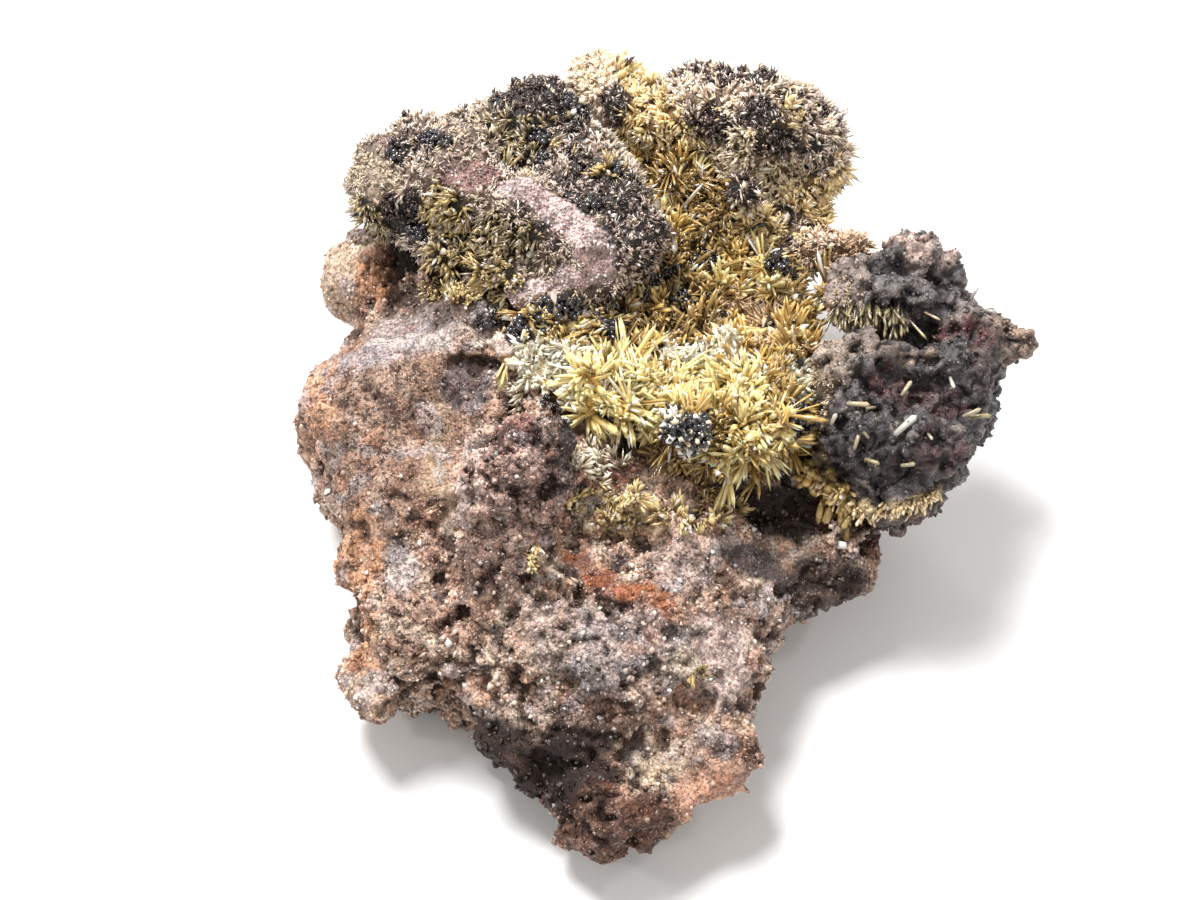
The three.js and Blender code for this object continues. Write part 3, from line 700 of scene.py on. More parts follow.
druse = {"coarse": 0.9, "softened": 5, "room": 0.7, "lift": 0.1, "uneven": 0.28, "strays": 0.16}
knob = {
    **druse,
    "fine": 0.62,
    "swell": 1.1,
    "sink": 0.5,
    "grain": 1.3,
    "height": 0.8,
    "crevice": (40, 28, 24),
    "seed": 131,
    "patch": 3,
    "patchy": 0.6,
    "spacing": 0.89,
    "each": 7,
    "rooted": 0.35,
    "kinds": {
        "tan": kind(0.68, (144, 120, 100), (176, 148, 122), (248, 230, 208), 1.35, 0.13, 60, 44, 1, 0.12),
        "dark": kind(0.34, (38, 29, 28), (28, 21, 20), (98, 78, 72), 1.3, 0.13, 56, 44, 1, 0.08),
        "tipped": kind(0.36, (46, 36, 36), (36, 28, 30), (222, 198, 180), 1.35, 0.12, 58, 44, 1, 0.1),
        "gold": kind(0.25, (130, 98, 54), (184, 148, 88), (250, 226, 170), 2.0, 0.18, 60, 38, 1, 0.06),
        "olive": kind(0.15, (122, 100, 70), (180, 156, 118), (250, 234, 204), 1.8, 0.15, 60, 42, 1, 0.08),
        "peach": kind(-1, (250, 218, 180), (255, 228, 188), (255, 248, 228), 1.1, 0.13, 60, 50, 1),
        "brown": kind(-1, (142, 108, 82), (170, 132, 102), (240, 212, 180), 1.3, 0.1, 60, 55),
    },
    "zones": {
        "peach": [((-8.4, 47, 34), (5.4, 6, 9), 1.9)],
        "gold": [
            ((-2.6, 45.6, 33), (3.6, 5, 6), 1.2), ((-0.5, 38, 31), (5.4, 5, 7), 1.1),
            ((15.3, 35.4, 41), (2, 1.6, 2.4), 0.5), ((21.5, 31.2, 32), (5, 4, 5), 0.75),
            ((12, 25.6, 30), (7, 3, 3), 1),
        ],
        "dark": [
            ((-5.4, 41.4, 35.6), (1.9, 1.9, 3), 2), ((6.3, 36.2, 37.4), (3.2, 2.4, 2.6), 1.2),
            ((12.1, 35.4, 41), (2.6, 1.8, 2.4), 1.2), ((8.1, 42.1, 40.5), (3, 2, 2.4), 1),
            ((12.8, 41, 42), (2.6, 1.7, 2), 1), ((16.9, 38, 42), (2, 1.6, 2), 0.9),
            ((14.7, 32.7, 37.8), (4, 1.4, 2), 1.1), ((21.6, 38, 36), (2, 2, 3), 0.7),
            ((10.7, 28, 35.6), (1.9, 1.9, 2.4), 2), ((17.5, 27.8, 29.4), (1.5, 1.1, 1.4), 1.6),
            ((16.2, 25.3, 28.5), (1.2, 1, 1.2), 1.6),
        ],
        "tan": [((9, 41, 41), (9, 5, 5), 0.35), ((8.4, 29.5, 33.6), (3.4, 2.8, 3), 0.8)],
        "tipped": [((20.6, 37, 37), (3.6, 6, 7), 0.5)],
        "olive": [((10, 33, 37), (6, 1.6, 3), 0.8), ((8, 30.5, 32), (14, 3, 3), 1)],
        "brown": [((22.5, 23.6, 29), (5, 4.6, 5), 2)],
    },
    "pushed": [
        ((-5.4, 41.6, 35), 1.9, 1.7), ((10.7, 28, 35.2), 2, 1), ((12.8, 40.6, 41.6), 2, 0.7),
        ((5, 33.4, 33), 2.6, -0.9), ((12, 31, 33.6), 2.6, -0.9), ((18, 31, 34), 2, -0.6),
        ((19, 41, 39), 5, -0.8), ((22, 27.8, 30), 3.2, -1.6), ((-8.8, 48, 35), 4.4, 1.1),
    ],
}

ridge = {
    **druse,
    "fine": 0.52,
    "swell": 1.0,
    "sink": 0.4,
    "grain": 1.1,
    "height": 0.65,
    "crevice": (44, 32, 28),
    "seed": 161,
    "patch": 2.8,
    "patchy": 0.55,
    "spacing": 0.85,
    "each": 6,
    "rooted": 0.3,
    "kinds": {
        "tan": kind(0.58, (124, 102, 88), (148, 122, 102), (228, 210, 190), 1.2, 0.1, 60, 46, 1, 0.1),
        "dark": kind(0.36, (38, 30, 29), (30, 23, 22), (104, 84, 76), 1.1, 0.12, 56, 46, 1, 0.06),
        "tipped": kind(0.32, (42, 33, 34), (32, 25, 27), (206, 182, 170), 1.15, 0.11, 58, 46, 1, 0.08),
        # the gold and spray kinds are dark: partly their own colour, partly painted shade in the recess
        # under the lilac band, where some of their zones lie
        "gold": kind(0.05, (62, 48, 26), (94, 72, 36), (206, 180, 122), 2.3, 0.19, 60, 34, 0.95, 0.06),
        "spray": kind(0.1, (34, 28, 21), (60, 50, 33), (182, 162, 120), 2.1, 0.15, 60, 34, 0.7, 0.08),
        "straw": kind(-0.6, (152, 132, 114), (156, 134, 110), (226, 208, 180), 0.9, 0.1, 56, 56, 0.7),
        "lilac": kind(-1, (216, 190, 186), (208, 184, 178), (244, 228, 224), 0.45, 0.08, 40, 60, 0.05),
        "russet": kind(-1, (142, 108, 100), (152, 120, 106), (218, 196, 184), 0.6, 0.08, 40, 60, 0.3),
        "black": kind(-0.35, (24, 20, 22), (16, 13, 16), (46, 40, 44), 0.9, 0.3, 40, 56),
    },
    "zones": {
        "russet": [((-23.6, 28, 38.8), (4.6, 2.6, 3), 2.2), ((-34.6, 32.8, 36), (3.4, 3, 3), 1.6)],
        "lilac": [
            ((-18.6, 25.4, 40), (2.6, 1.4, 3), 2.4), ((-16.2, 23.9, 39.9), (2.4, 1.4, 3), 2.4),
            ((-14, 22.6, 39.6), (2.9, 1.5, 3), 2.6), ((-12, 21, 39), (2.4, 1.6, 3), 2.6),
            ((-10.2, 19.6, 38.4), (2.4, 1.8, 3), 2.6), ((-8.8, 17.8, 37), (2.2, 2, 3), 2.6),
            ((-7.4, 16, 35.4), (2.2, 2.4, 4), 2.6), ((-11.4, 15.2, 33.2), (2.8, 1.4, 2.4), 2.6),
            ((-15.2, 14.8, 31.8), (3, 1.4, 2.2), 2.6), ((-18.6, 14.4, 30.2), (2.8, 1.4, 2.2), 2.6),
        ],
        "tan": [((-17, 25.8, 41), (3, 1.4, 2), 1), ((-27.5, 36.6, 38), (4, 2, 2), 0.9)],
        "dark": [
            ((-7, 26, 38.4), (5, 4, 4), 1.1), ((-2, 21.6, 36), (4, 5, 5), 1.3),
            ((-16.8, 42, 37), (5, 3.6, 4), 1.7), ((-33, 26.4, 33), (2, 3, 3), 1.2),
            ((-32.8, 32, 37.4), (1.6, 1.4, 2), 2.4),
        ],
        "tipped": [((-7, 26, 38.4), (5, 4, 4), 1.1), ((-2, 20.6, 35), (4, 5, 5), 1.45)],
        "black": [
            ((-8.6, 22.6, 38.4), (1.3, 1, 1.4), 2), ((-10.9, 40.1, 35.6), (1.8, 1.6, 2), 2),
            ((-14.9, 35.5, 36.3), (1.7, 1.2, 1.5), 2), ((-19.6, 29.6, 40.6), (1.6, 1.2, 1.6), 1.8),
            ((-15.1, 32.4, 35.6), (1.6, 1.2, 1.5), 1.8), ((-28.3, 33.3, 38.2), (2.4, 1.2, 1.6), 2.2),
            ((-30.3, 24, 33.4), (2, 2, 2.4), 2.4),
        ],
        "gold": [
            ((-6.4, 28.4, 38.5), (1.5, 1.2, 1.4), 2), ((-27, 24.6, 34.4), (3.4, 2.6, 3.4), 1.6),
            ((-24.6, 20.6, 31), (4, 3, 3), 0.8), ((-20.5, 16.4, 30.6), (3.6, 2.4, 3), 1.3),
        ],
        "spray": [
            ((-18.3, 37.2, 36.5), (4.4, 2, 2.6), 1.3), ((-17.4, 33.6, 35.4), (2.6, 1.6, 2), 1.4),
            ((-37, 26, 31), (3, 3, 4), 0.9), ((-24, 21.4, 33), (4.6, 3, 3.4), 0.9),
            ((-19.4, 20.4, 35.2), (4.6, 2.4, 3), 1.3),
        ],
        "straw": [((-36, 28.4, 33), (5, 6, 7), 1.5)],
    },
    "pushed": [
        ((-16.2, 23.9, 39.9), 1.7, 0.7), ((-12, 21, 39), 1.7, 0.8), ((-8.8, 17.8, 37), 1.7, 0.8),
        ((-11.4, 15.2, 33.2), 1.7, 1.1), ((-15.2, 14.8, 31.8), 1.7, 1.1), ((-18.6, 14.4, 30.2), 1.6, 1),
        ((-30.3, 23.8, 33.2), 1.9, -1.6), ((-10.9, 40.1, 35.6), 1.9, 1.1), ((-28.3, 33.4, 38), 1.8, 0.7),
        ((-20, 34, 36.6), 3, -0.9), ((-38, 31, 34), 5, 1.7), ((-39.4, 34, 31), 4, 1),
        ((-33, 35, 36), 4, 0.9), ((-24.3, 42.3, 35), 4, 1.1), ((-24.5, 21.4, 32.4), 3.4, -1.3),
        ((-19.4, 19.6, 33.4), 2.6, -0.9), ((-35.4, 28, 35), 2, 0.8), ((-12, 29.4, 37.4), 1.8, 0.8),
        ((-4, 24.6, 37), 2, 0.7),
    ],
}

for shape in (hollow, knob, ridge):
    shape.update(broad=crustBroad(shape), relief=crustRelief(shape))
    shape.update(colours=crustColours(shape), pitted=evenly)

skins = {
    "rock": skin("hostRock", "matrix_rock", rock),
    "oxide": skin("oxideMass", "oxide_mass", oxide),
    "hollow": skin("hollowCrust", "hollow_crust", hollow),
    "knob": skin("knobCrust", "knob_druse", knob),
    "ridge": skin("ridgeCrust", "ridge_druse", ridge),
}

rockFinish = granular("hostRock", {
    "ior": 1.5, "lit": (0.02, 0.16), "rough": 0.75, "raised": 0.34,
    "grit": 0.38, "coarse": 1.5, "darkest": 0.4, "lightest": 1.55,
    "fleck": 0.24, "flecked": (0.63, 0.7), "paleness": 0.6, "pale": (0.9, 0.84, 0.78),
    "pore": 0.7, "pored": (0.565, 0.6), "poreShade": (58, 34, 28),
})
oxideFinish = granular("oxide", {
    "ior": 1.7, "lit": (-1, 0), "rough": 0.42, "raised": 0.22,
    "grit": 0.28, "coarse": 1.1, "darkest": 0.4, "lightest": 1.5,
    "fleck": 0.22, "flecked": (0.66, 0.73), "paleness": 0.55, "pale": (0.6, 0.56, 0.53),
    "pore": 0.8, "pored": (0.6, 0.68), "poreShade": (26, 13, 14),
})
crustFinish = granular("crust", {
    "ior": 1.6, "lit": (-1, 0), "rough": 0.6, "raised": 0.2,
    "grit": 0.3, "coarse": 1.2, "darkest": 0.45, "lightest": 1.5,
    "fleck": 0.2, "flecked": (0.66, 0.74), "paleness": 0.6, "pale": (0.86, 0.8, 0.72),
    "pore": 0.9, "pored": (0.64, 0.72), "poreShade": (52, 36, 30),
})

for name, piece in skins.items():
    piece.data.materials.append({"rock": rockFinish, "oxide": oxideFinish}.get(name, crustFinish).material)

graph = bpy.context.evaluated_depsgraph_get()
trees = {name: BVHTree.FromObject(piece, graph) for name, piece in skins.items()}


# Crystals and grains

margin = 0.06  # room left round each solid's square of the texture, as a share of it


def crowd(name, points, shades, faces, maps, finish):
    # many small closed solids in one piece, each with its own corners and colours but the same faces
    count, each = points.shape[:2]
    offsets = (np.arange(count) * each)[:, None, None]
    atlas = math.ceil(math.sqrt(count))
    corner = np.stack([np.arange(count) % atlas, np.arange(count) // atlas], 1)[:, None, None]
    loops, sizes, places = [], [], []
    for many in (3, 4):
        chosen = [n for n, face in enumerate(faces) if len(face) == many]
        if chosen:
            own = (np.array([faces[n] for n in chosen])[None] + offsets).reshape(-1, many)
            loops.append(own.ravel())
            sizes.append(np.full(len(own), many))
            flat = np.array([maps[n] for n in chosen])[None]
            places.append(((corner + margin + (1 - 2 * margin) * flat) / atlas).reshape(-1, 2))
    loops, sizes, places = np.concatenate(loops), np.concatenate(sizes), np.concatenate(places)
    mesh = bpy.data.meshes.new(name)
    mesh.vertices.add(count * each)
    points = np.concatenate([points[:, :, :2], np.clip(points[:, :, 2:], 0, highest)], 2)
    mesh.vertices.foreach_set("co", (points * millimetre).astype(np.float32).ravel())
    mesh.loops.add(len(loops))
    mesh.loops.foreach_set("vertex_index", loops.astype(np.int32))
    mesh.polygons.add(len(sizes))
    mesh.polygons.foreach_set("loop_start", np.concatenate([[0], np.cumsum(sizes)[:-1]]).astype(np.int32))
    mesh.polygons.foreach_set("loop_total", sizes.astype(np.int32))
    mesh.update(calc_edges=True)
    mesh.uv_layers.new(name="OFBake").data.foreach_set("uv", places.astype(np.float32).ravel())
    piece = adopt(bpy.data.objects.new(name, mesh))
    tint(piece, shades.reshape(-1, 3))
    mesh.materials.append(finish.material)
    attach(piece, "root")
    say(f"{name}, {count} of them, {int((sizes - 2).sum())} triangles")


def unit(ways):
    return ways / np.linalg.norm(ways, axis=1)[:, None]


def crossways(ways):
    # two directions square to each way
    helper = np.where(np.abs(ways[:, 2:3]) < 0.8, (0, 0, 1), (1, 0, 0))
    side = unit(np.cross(ways, helper))
    return side, np.cross(ways, side)


def around(side, other, turn):
    # directions at these turns from `side` towards `other`
    return side[:, None] * np.cos(turn)[:, :, None] + other[:, None] * np.sin(turn)[:, :, None]


def needles(name, made, sides, rings, finish):
    # each is a point at its root, rings of `sides` corners at shares of its length, and a pointed tip
    roots, ways, lengths, widths = made["roots"], made["ways"], made["lengths"], made["widths"]
    count = len(roots)
    side, other = crossways(ways)
    turn = random.random(count)[:, None] * 2 * np.pi + np.arange(sides) / sides * 2 * np.pi
    ring = around(side, other, turn)
    corners = [roots[:, None]]
    along = [0]
    for place, wide in rings:
        middles = roots + ways * (lengths * place)[:, None]
        corners.append(middles[:, None] + ring * (widths * wide)[:, None, None])
        along += [place] * sides
    corners.append((roots + ways * lengths[:, None])[:, None])
    # colour runs from root to tip; where a root is darker than its tip, that is partly the crystal's own
    # colour and partly painted shade low down among the needles
    share = ease(0.25, 0.95, np.array(along + [1]))[None, :, None]
    shades = made["root"][:, None] * (1 - share) + made["tip"][:, None] * share
    heights = [0, *(place for place, _ in rings), 1]
    last, top = 1 + len(rings) * sides, 1 + (len(rings) - 1) * sides
    faces, maps = [], []
    for one in range(sides):
        two = (one + 1) % sides
        left, right, middle = one / sides, (one + 1) / sides, (one + 0.5) / sides
        faces.append((0, 1 + two, 1 + one))
        maps.append(((middle, 0), (right, heights[1]), (left, heights[1])))
        faces.append((top + one, top + two, last))
        maps.append(((left, heights[-2]), (right, heights[-2]), (middle, 1)))
        for level in range(len(rings) - 1):
            low, high = 1 + level * sides, 1 + (level + 1) * sides
            faces.append((low + one, low + two, high + two, high + one))
            bottom, upper = heights[level + 1], heights[level + 2]
            maps.append(((left, bottom), (right, bottom), (right, upper), (left, upper)))
    crowd(name, np.concatenate(corners, 1), shades, faces, maps, finish)


def spotsOn(piece, spacing, wanted):
    # evenly scattered places on a piece, with their outward ways and its colour there
    mesh = piece.data
    mesh.calc_loop_triangles()
    corners = np.empty(len(mesh.loop_triangles) * 3, np.int32)
    mesh.loop_triangles.foreach_get("vertices", corners)
    corners = corners.reshape(-1, 3)
    colours = np.empty(len(mesh.vertices) * 4, np.float32)
    mesh.color_attributes["tint"].data.foreach_get("color", colours)
    colours = colours.reshape(-1, 4)[:, :3]
    triangles, normals = placesOf(piece)[corners], outwardsOf(piece)[corners].mean(1)
    edges = triangles[:, 1:] - triangles[:, :1]
    area = np.linalg.norm(np.cross(edges[:, 0], edges[:, 1]), axis=1)
    count = int(area.sum() / 2 / spacing**2 * 4)
    picked = random.choice(len(triangles), count, p=area / area.sum())
    spots = (triangles[picked] * random.dirichlet((1, 1, 1), count)[:, :, None]).sum(1)
    _, first = np.unique(np.floor(spots / spacing).astype(int), axis=0, return_index=True)
    spots, picked = spots[first], picked[first]
    keep = random.random(len(spots)) < wanted(spots, normals[picked])
    spots, picked = spots[keep], picked[keep]
    return spots, unit(normals[picked]), colours[corners[picked, 0]]


def openTo(spots, ways, reach):
    # which spots have nothing close in front of them, looking from just off the piece that they are on
    justOff, clear = 0.35, []
    for spot, way in zip(spots, ways):
        start = Vector((spot + justOff * way) * millimetre)
        hits = [tree.ray_cast(start, Vector(way), reach * millimetre)[0] for tree in trees.values()]
        clear.append(all(hit is None for hit in hits))
    return np.array(clear)


def tilted(ways, degrees, count):
    # `count` directions around each way, up to so many degrees off it
    side, other = crossways(ways)
    lean = np.radians(degrees).reshape(-1, 1) * np.sqrt(random.random((len(ways), count)))
    turn = random.random((len(ways), count)) * 2 * np.pi
    flat = around(side, other, turn)
    return ways[:, None] * np.cos(lean)[:, :, None] + flat * np.sin(lean)[:, :, None]


def uneven(count, amount):
    return np.exp(amount * random.normal(size=count))


coats = {
    "sheafTone": 0.2,  # how unevenly the sheaves are toned
    "needleTone": 0.15,
    "thickness": 0.35,  # how unevenly thick the needles are
    "longest": 1.08,
    "edgeShorter": 0.3,  # how much shorter a needle is at the edge of its fan
    "shortest": 0.82,
    "chanceLonger": 0.3,
    "astray": 0.16,  # how far a root strays from its sheaf, as a share of the spacing
    "sunk": 0.1,  # share of its length that a needle is sunk by, on top of `rooted`
    "whiteRoot": (222, 208, 186),
    "whiteTip": (252, 248, 240),
}


def coat(name, ground, shape, finish):
    # sheaves of needles: each leans its own way off the crust and opens into a small fan
    spots, outwards, _ = spotsOn(skins[ground], shape["spacing"], shape["wanted"])
    which = kindsAt(spots, shape, 0.3)
    keep = random.random(len(spots)) < lookOf(shape, which, "full")
    spots, outwards, which = spots[keep], outwards[keep], which[keep]
    keep = openTo(spots, outwards, shape["room"])
    spots, outwards, which = spots[keep], outwards[keep], which[keep]
    outwards = unit(outwards + np.array((0, 0, shape["lift"])))
    sheaves, each = len(spots), shape["each"]
    leaning = tilted(outwards, lookOf(shape, which, "lean"), 1)[:, 0]
    fan = lookOf(shape, which, "fan")
    ways = tilted(leaning, fan, each)
    outermost = np.arccos(np.clip((ways * leaning[:, None]).sum(2), -1, 1)) / np.radians(fan)[:, None]
    sheafSize, sheafTone = uneven(sheaves, shape["uneven"]), uneven(sheaves, coats["sheafTone"])
    owner = np.repeat(np.arange(sheaves), each)
    count, ways = len(owner), ways.reshape(-1, 3)
    edgewise = coats["longest"] - coats["edgeShorter"] * outermost.ravel()
    lengths = lookOf(shape, which, "length")[owner] * sheafSize[owner] * edgewise
    lengths = lengths * (coats["shortest"] + coats["chanceLonger"] * random.random(count))
    widths = lookOf(shape, which, "width")[owner] * uneven(count, coats["thickness"])
    roots = spots[owner] + random.normal(size=(count, 3)) * shape["spacing"] * coats["astray"]
    roots = roots - ways * (shape["rooted"] + coats["sunk"] * lengths[:, None])
    strays = random.random(count) < shape["strays"]
    coloured = np.where(strays, which[random.integers(sheaves, size=count)], which[owner])
    tone = (sheafTone[owner] * uneven(count, coats["needleTone"]))[:, None]
    white = (random.random(count) < lookOf(shape, coloured, "pale"))[:, None]
    root = np.where(white, paint(coats["whiteRoot"]), paint(lookOf(shape, coloured, "root")) * tone)
    tip = np.where(white, paint(coats["whiteTip"]), paint(lookOf(shape, coloured, "tip")) * tone)
    made = {
        "roots": roots, "ways": ways, "lengths": lengths + shape["rooted"], "widths": widths,
        "root": root, "tip": tip,
    }
    pieces = math.ceil(count * shape["sides"] * 2 * len(shape["rings"]) / mostTriangles)
    for number, part in enumerate(np.array_split(np.argsort(roots[:, 1], kind="stable"), pieces)):
        label = name + "ABCD"[number] if pieces > 1 else name
        own = {key: values[part] for key, values in made.items()}
        needles(label, own, shape["sides"], shape["rings"], finish)


grainLook = {
    "least": 0.6,  # a corner's reach from the middle, at least, and how much more by chance
    "more": 0.75,
    "astray": 0.16,  # how far a corner strays, as a share of the grain's size
    "tone": 0.22,  # how unevenly grains, their mixed paints and their corners are toned
    "mixedTone": 0.12,
    "cornerTone": 0.06,
}


def strew(name, ground, grit, finish):
    # angular grains half sunk into a piece, most of them the colour of what they lie on
    spots, outwards, colours = spotsOn(skins[ground], grit["spacing"], grit["wanted"])
    count = len(spots)
    ways = tilted(outwards, np.full(count, 90.0), 1)[:, 0]
    side, other = crossways(ways)
    sizes = grit["size"] * uneven(count, grit["uneven"])
    middles = spots + outwards * (sizes * grit["proud"])[:, None]
    corners = []
    for axis in (ways, side, other):
        for sign in (1, -1):
            reach = sizes * (grainLook["least"] + grainLook["more"] * random.random(count))
            astray = random.normal(size=(count, 3)) * sizes[:, None] * grainLook["astray"]
            corners.append(middles + sign * axis * reach[:, None] + astray)
    points = np.stack(corners, 1)
    # grains take the colour of the skin under them, painted shade and highlights included, and the mixed
    # paints are dimmed where that colour is dark
    shades = colours * uneven(count, grainLook["tone"])[:, None] * grit["lighter"]
    lit = 0.25 + 0.75 * ease(0.02, 0.25, colours.mean(1))[:, None]
    draw = random.random(count)
    first = 0
    for shade, share, strength in grit["mixed"]:
        chosen = ((draw >= first) & (draw < first + share))[:, None]
        toned = paint(shade) * strength * uneven(count, grainLook["mixedTone"])[:, None] * lit
        shades = np.where(chosen, shades * (1 - strength) + toned, shades)
        first += share
    cornerTone = np.exp(grainLook["cornerTone"] * random.normal(size=(count, 6, 1)))
    shades = np.repeat(shades[:, None], 6, 1) * cornerTone
    faces, maps = [], []
    for a in (0, 1):
        for b in (2, 3):
            for c in (4, 5):
                turned = (a + b + c) % 2
                faces.append((a, c, b) if turned else (a, b, c))
                left = len(maps) / 8
                maps.append(((left, 0), (left + 0.12, 0), (left + 0.06, 1)))
    crowd(name, points, shades, faces, maps, finish)


def plain(name, look):
    made = Finish(name, look)
    made.feed(made.shader.inputs["Base Color"], made.own())
    return made


glow = {"Subsurface Weight": 0.3, "Subsurface Radius": (1, 1, 1), "Subsurface Scale": 0.3 * millimetre}
goldFinish = plain("goldenNeedles", {"Roughness": 0.14, "IOR": 1.8, "Transmission Weight": 0.08, **glow})
hairFinish = plain("bristles", {"Roughness": 0.16, "IOR": 1.8})
grainFinish = plain("quartzGrains", {"Roughness": 0.16, "IOR": 1.54})
oreFinish = plain("oreGrains", {"Roughness": 0.34, "IOR": 1.7})


def facing(low, high):
    return lambda spots, ways: ease(low, high, ways[:, 2])


hollow.update(wanted=facing(-0.45, 0.1), sides=3, rings=[(0.14, 0.8), (0.82, 1.0)])
knob.update(wanted=facing(-0.8, -0.3), sides=5, rings=[(0.66, 1.0)])
ridge.update(wanted=facing(-0.8, -0.3), sides=5, rings=[(0.64, 1.0)])
coat("hollowNeedles", "hollow", hollow, goldFinish)
coat("knobNeedles", "knob", knob, hairFinish)
coat("ridgeNeedles", "ridge", ridge, hairFinish)

# Clumps of stubby crystals: where each is, how far it reaches, how many, and the share of pale ones

clumps = {
    "hollow": [
        ((2.3, -7), (4.4, 1.3), 130, 0.26),
        ((-12.6, 11.6), (2.3, 1), 44, 0.04),
        ((-15.4, 10.2), (2, 1.1), 42, 0.04),
        ((-17.6, 9), (1.4, 1), 24, 0.04),
        ((-6.6, 11), (1.3, 1), 22, 0.04),
        ((0.8, 21.2), (1.6, 0.9), 26, 0.04),
        ((6, 22), (2, 1), 32, 0.1),
        ((14.8, 21.6), (1, 1.5), 24, 0.04),
        ((-1, 18.8), (0.8, 0.6), 9, 0.04),
        ((-5, 13.6), (0.9, 0.7), 12, 0),
        ((-2.4, 16.4), (0.8, 0.6), 9, 0),
        ((2.7, 17), (1, 0.6), 12, 0.04),
        ((8.4, 14.4), (0.6, 0.5), 6, 0),
        ((6, 18.6), (0.7, 0.5), 8, 0),
        ((-10.4, 1.4), (0.6, 0.8), 7, 0),
        ((-7, -2), (0.8, 0.7), 8, 0.04),
        ((13.6, 12), (0.7, 0.6), 6, 0),
        ((17, -2), (1.6, 1.9), 44, 0.14),
        ((16.6, 5.4), (0.9, 0.8), 8, 0.1),
        ((4, 16), (0.9, 0.5), 6, 0),
        ((9.4, 4), (0.5, 0.4), 4, 0),
    ],
    "ridge": [
        ((-10.9, 40.1), (1.5, 1.2), 26, 0.04),
        ((-14.9, 35.5), (1.4, 0.8), 18, 0.04),
        ((-19.6, 29.8), (1.5, 0.9), 18, 0.06),
        ((-15.1, 32.2), (1.3, 0.8), 14, 0.06),
        ((-28.3, 33.3), (2, 0.9), 26, 0.04),
        ((-30.3, 24), (1.7, 1.3), 26, 0.02),
        ((-33, 31.6), (1.1, 0.9), 12, 0.02),
        ((-8.4, 22.8), (1.1, 0.8), 14, 0.02),
        ((-5, 28.4), (1.2, 1), 14, 0.06),
    ],
}
stubLook = {
    "dropped": 60,  # the height that they are dropped from onto their crust
    "sunk": 0.3,
    "lean": 50.0,
    "lengths": {"hollow": 1.5, "ridge": 1.2},
    "width": 0.36,
    "pale": ((170, 150, 122), (236, 216, 184)),  # root and tip
    "dark": ((13, 11, 13), (42, 38, 41)),
}
(paleRoot, paleTip), (darkRoot, darkTip) = stubLook["pale"], stubLook["dark"]
for ground, places in clumps.items():
    roots, ways, owners = [], [], []
    for (x, y), reach, count, pale in places:
        for _ in range(count):
            spread, turn = math.sqrt(random.random()), random.random() * 2 * math.pi
            across = x + reach[0] * spread * math.cos(turn)
            along = y + reach[1] * spread * math.sin(turn)
            above = Vector((across, along, stubLook["dropped"])) * millimetre
            at, outwards, _, _ = trees[ground].ray_cast(above, Vector((0, 0, -1)))
            if at is not None:
                roots.append(np.array(at) / millimetre)
                ways.append(np.array(outwards) * 0.6 + (0, 0, 0.4))
                owners.append(pale)
    roots, ways, owners = np.array(roots), np.array(ways), np.array(owners)
    count = len(roots)
    ways = tilted(unit(ways), np.full(count, stubLook["lean"]), 1)[:, 0]
    white = (random.random(count) < owners)[:, None]
    stub = {
        "roots": roots - stubLook["sunk"] * ways,
        "ways": ways,
        "lengths": stubLook["lengths"][ground] * uneven(count, 0.22),
        "widths": stubLook["width"] * uneven(count, 0.25),
        "root": np.where(white, paint(paleRoot), paint(darkRoot)),
        "tip": np.where(white, paint(paleTip), paint(darkTip) * uneven(count, 0.3)[:, None]),
    }
    needles(ground + "Stubs", stub, 5, [(0.24, 1.0), (0.88, 0.9)], hairFinish)

# Small growths on the rock and the oxide mass

tufts = {
    "wanted": facing(-0.5, 0),
    "sides": 5,
    "rings": [(0.78, 1.0)],
    "seed": 301,
    "patch": 3,
    "patchy": 0.2,
    "spacing": 1.3,
    "each": 12,
    "room": 0.6,
    "lift": 0.2,
    "rooted": 0.4,
    "uneven": 0.25,
    "strays": 0.08,
    "kinds": {
        "none": kind(0.6, (0, 0, 0), (0, 0, 0), (0, 0, 0), 1, 0.1, 10, 10, 0),
        "gold": kind(-0.2, (0, 0, 0), (180, 142, 84), (246, 220, 162), 2.0, 0.17, 60, 44, 0.8, 0.1),
        "cream": kind(-0.2, (0, 0, 0), (214, 186, 148), (255, 244, 222), 2.2, 0.16, 60, 50),
        "olive": kind(-0.2, (0, 0, 0), (100, 78, 42), (194, 168, 114), 1.8, 0.14, 52, 45, 0.8),
        "black": kind(-0.2, (0, 0, 0), (18, 15, 17), (52, 46, 48), 1.1, 0.22, 50, 50),
    },
    "zones": {
        "gold": [
            ((-6.4, -12.2, 25), (5, 2.4, 3), 1.1), ((4, -13, 23.6), (6, 1.8, 3), 0.9),
            ((-22, 16.4, 29), (4.6, 1.9, 3), 1.5), ((-25, 16.4, 29), (3.4, 2.4, 3), 1.2),
            ((-15.4, -19.6, 26.6), (1.9, 1.5, 2), 1.5),
        ],
        "cream": [
            ((-6.6, -8, 28), (4.4, 3, 3), 1.4), ((-16.6, 4.6, 28), (2.4, 3, 4), 1),
            ((-20.2, 10.8, 27.6), (3, 2.4, 3), 1.1),
        ],
        "olive": [
            ((-28, 18, 28), (4, 3, 4), 0.8), ((4.6, -31.6, 19), (2.8, 1.1, 1.6), 1.3),
            ((7, -9.6, 22), (3.4, 3, 3), 1), ((16, -9, 18.6), (6, 2, 3), 0.35),
            ((-25.6, -6, 27), (1.6, 6, 3), 0.5),
        ],
        "black": [
            ((-22, 13, 27), (1.6, 1.4, 2), 1), ((-12.8, -5.6, 33), (2.2, 2, 3), 0.75),
            ((-14, 0.6, 28.6), (1.6, 1.4, 2), 1.2),
        ],
    },
}
coat("rockTufts", "rock", tufts, goldFinish)

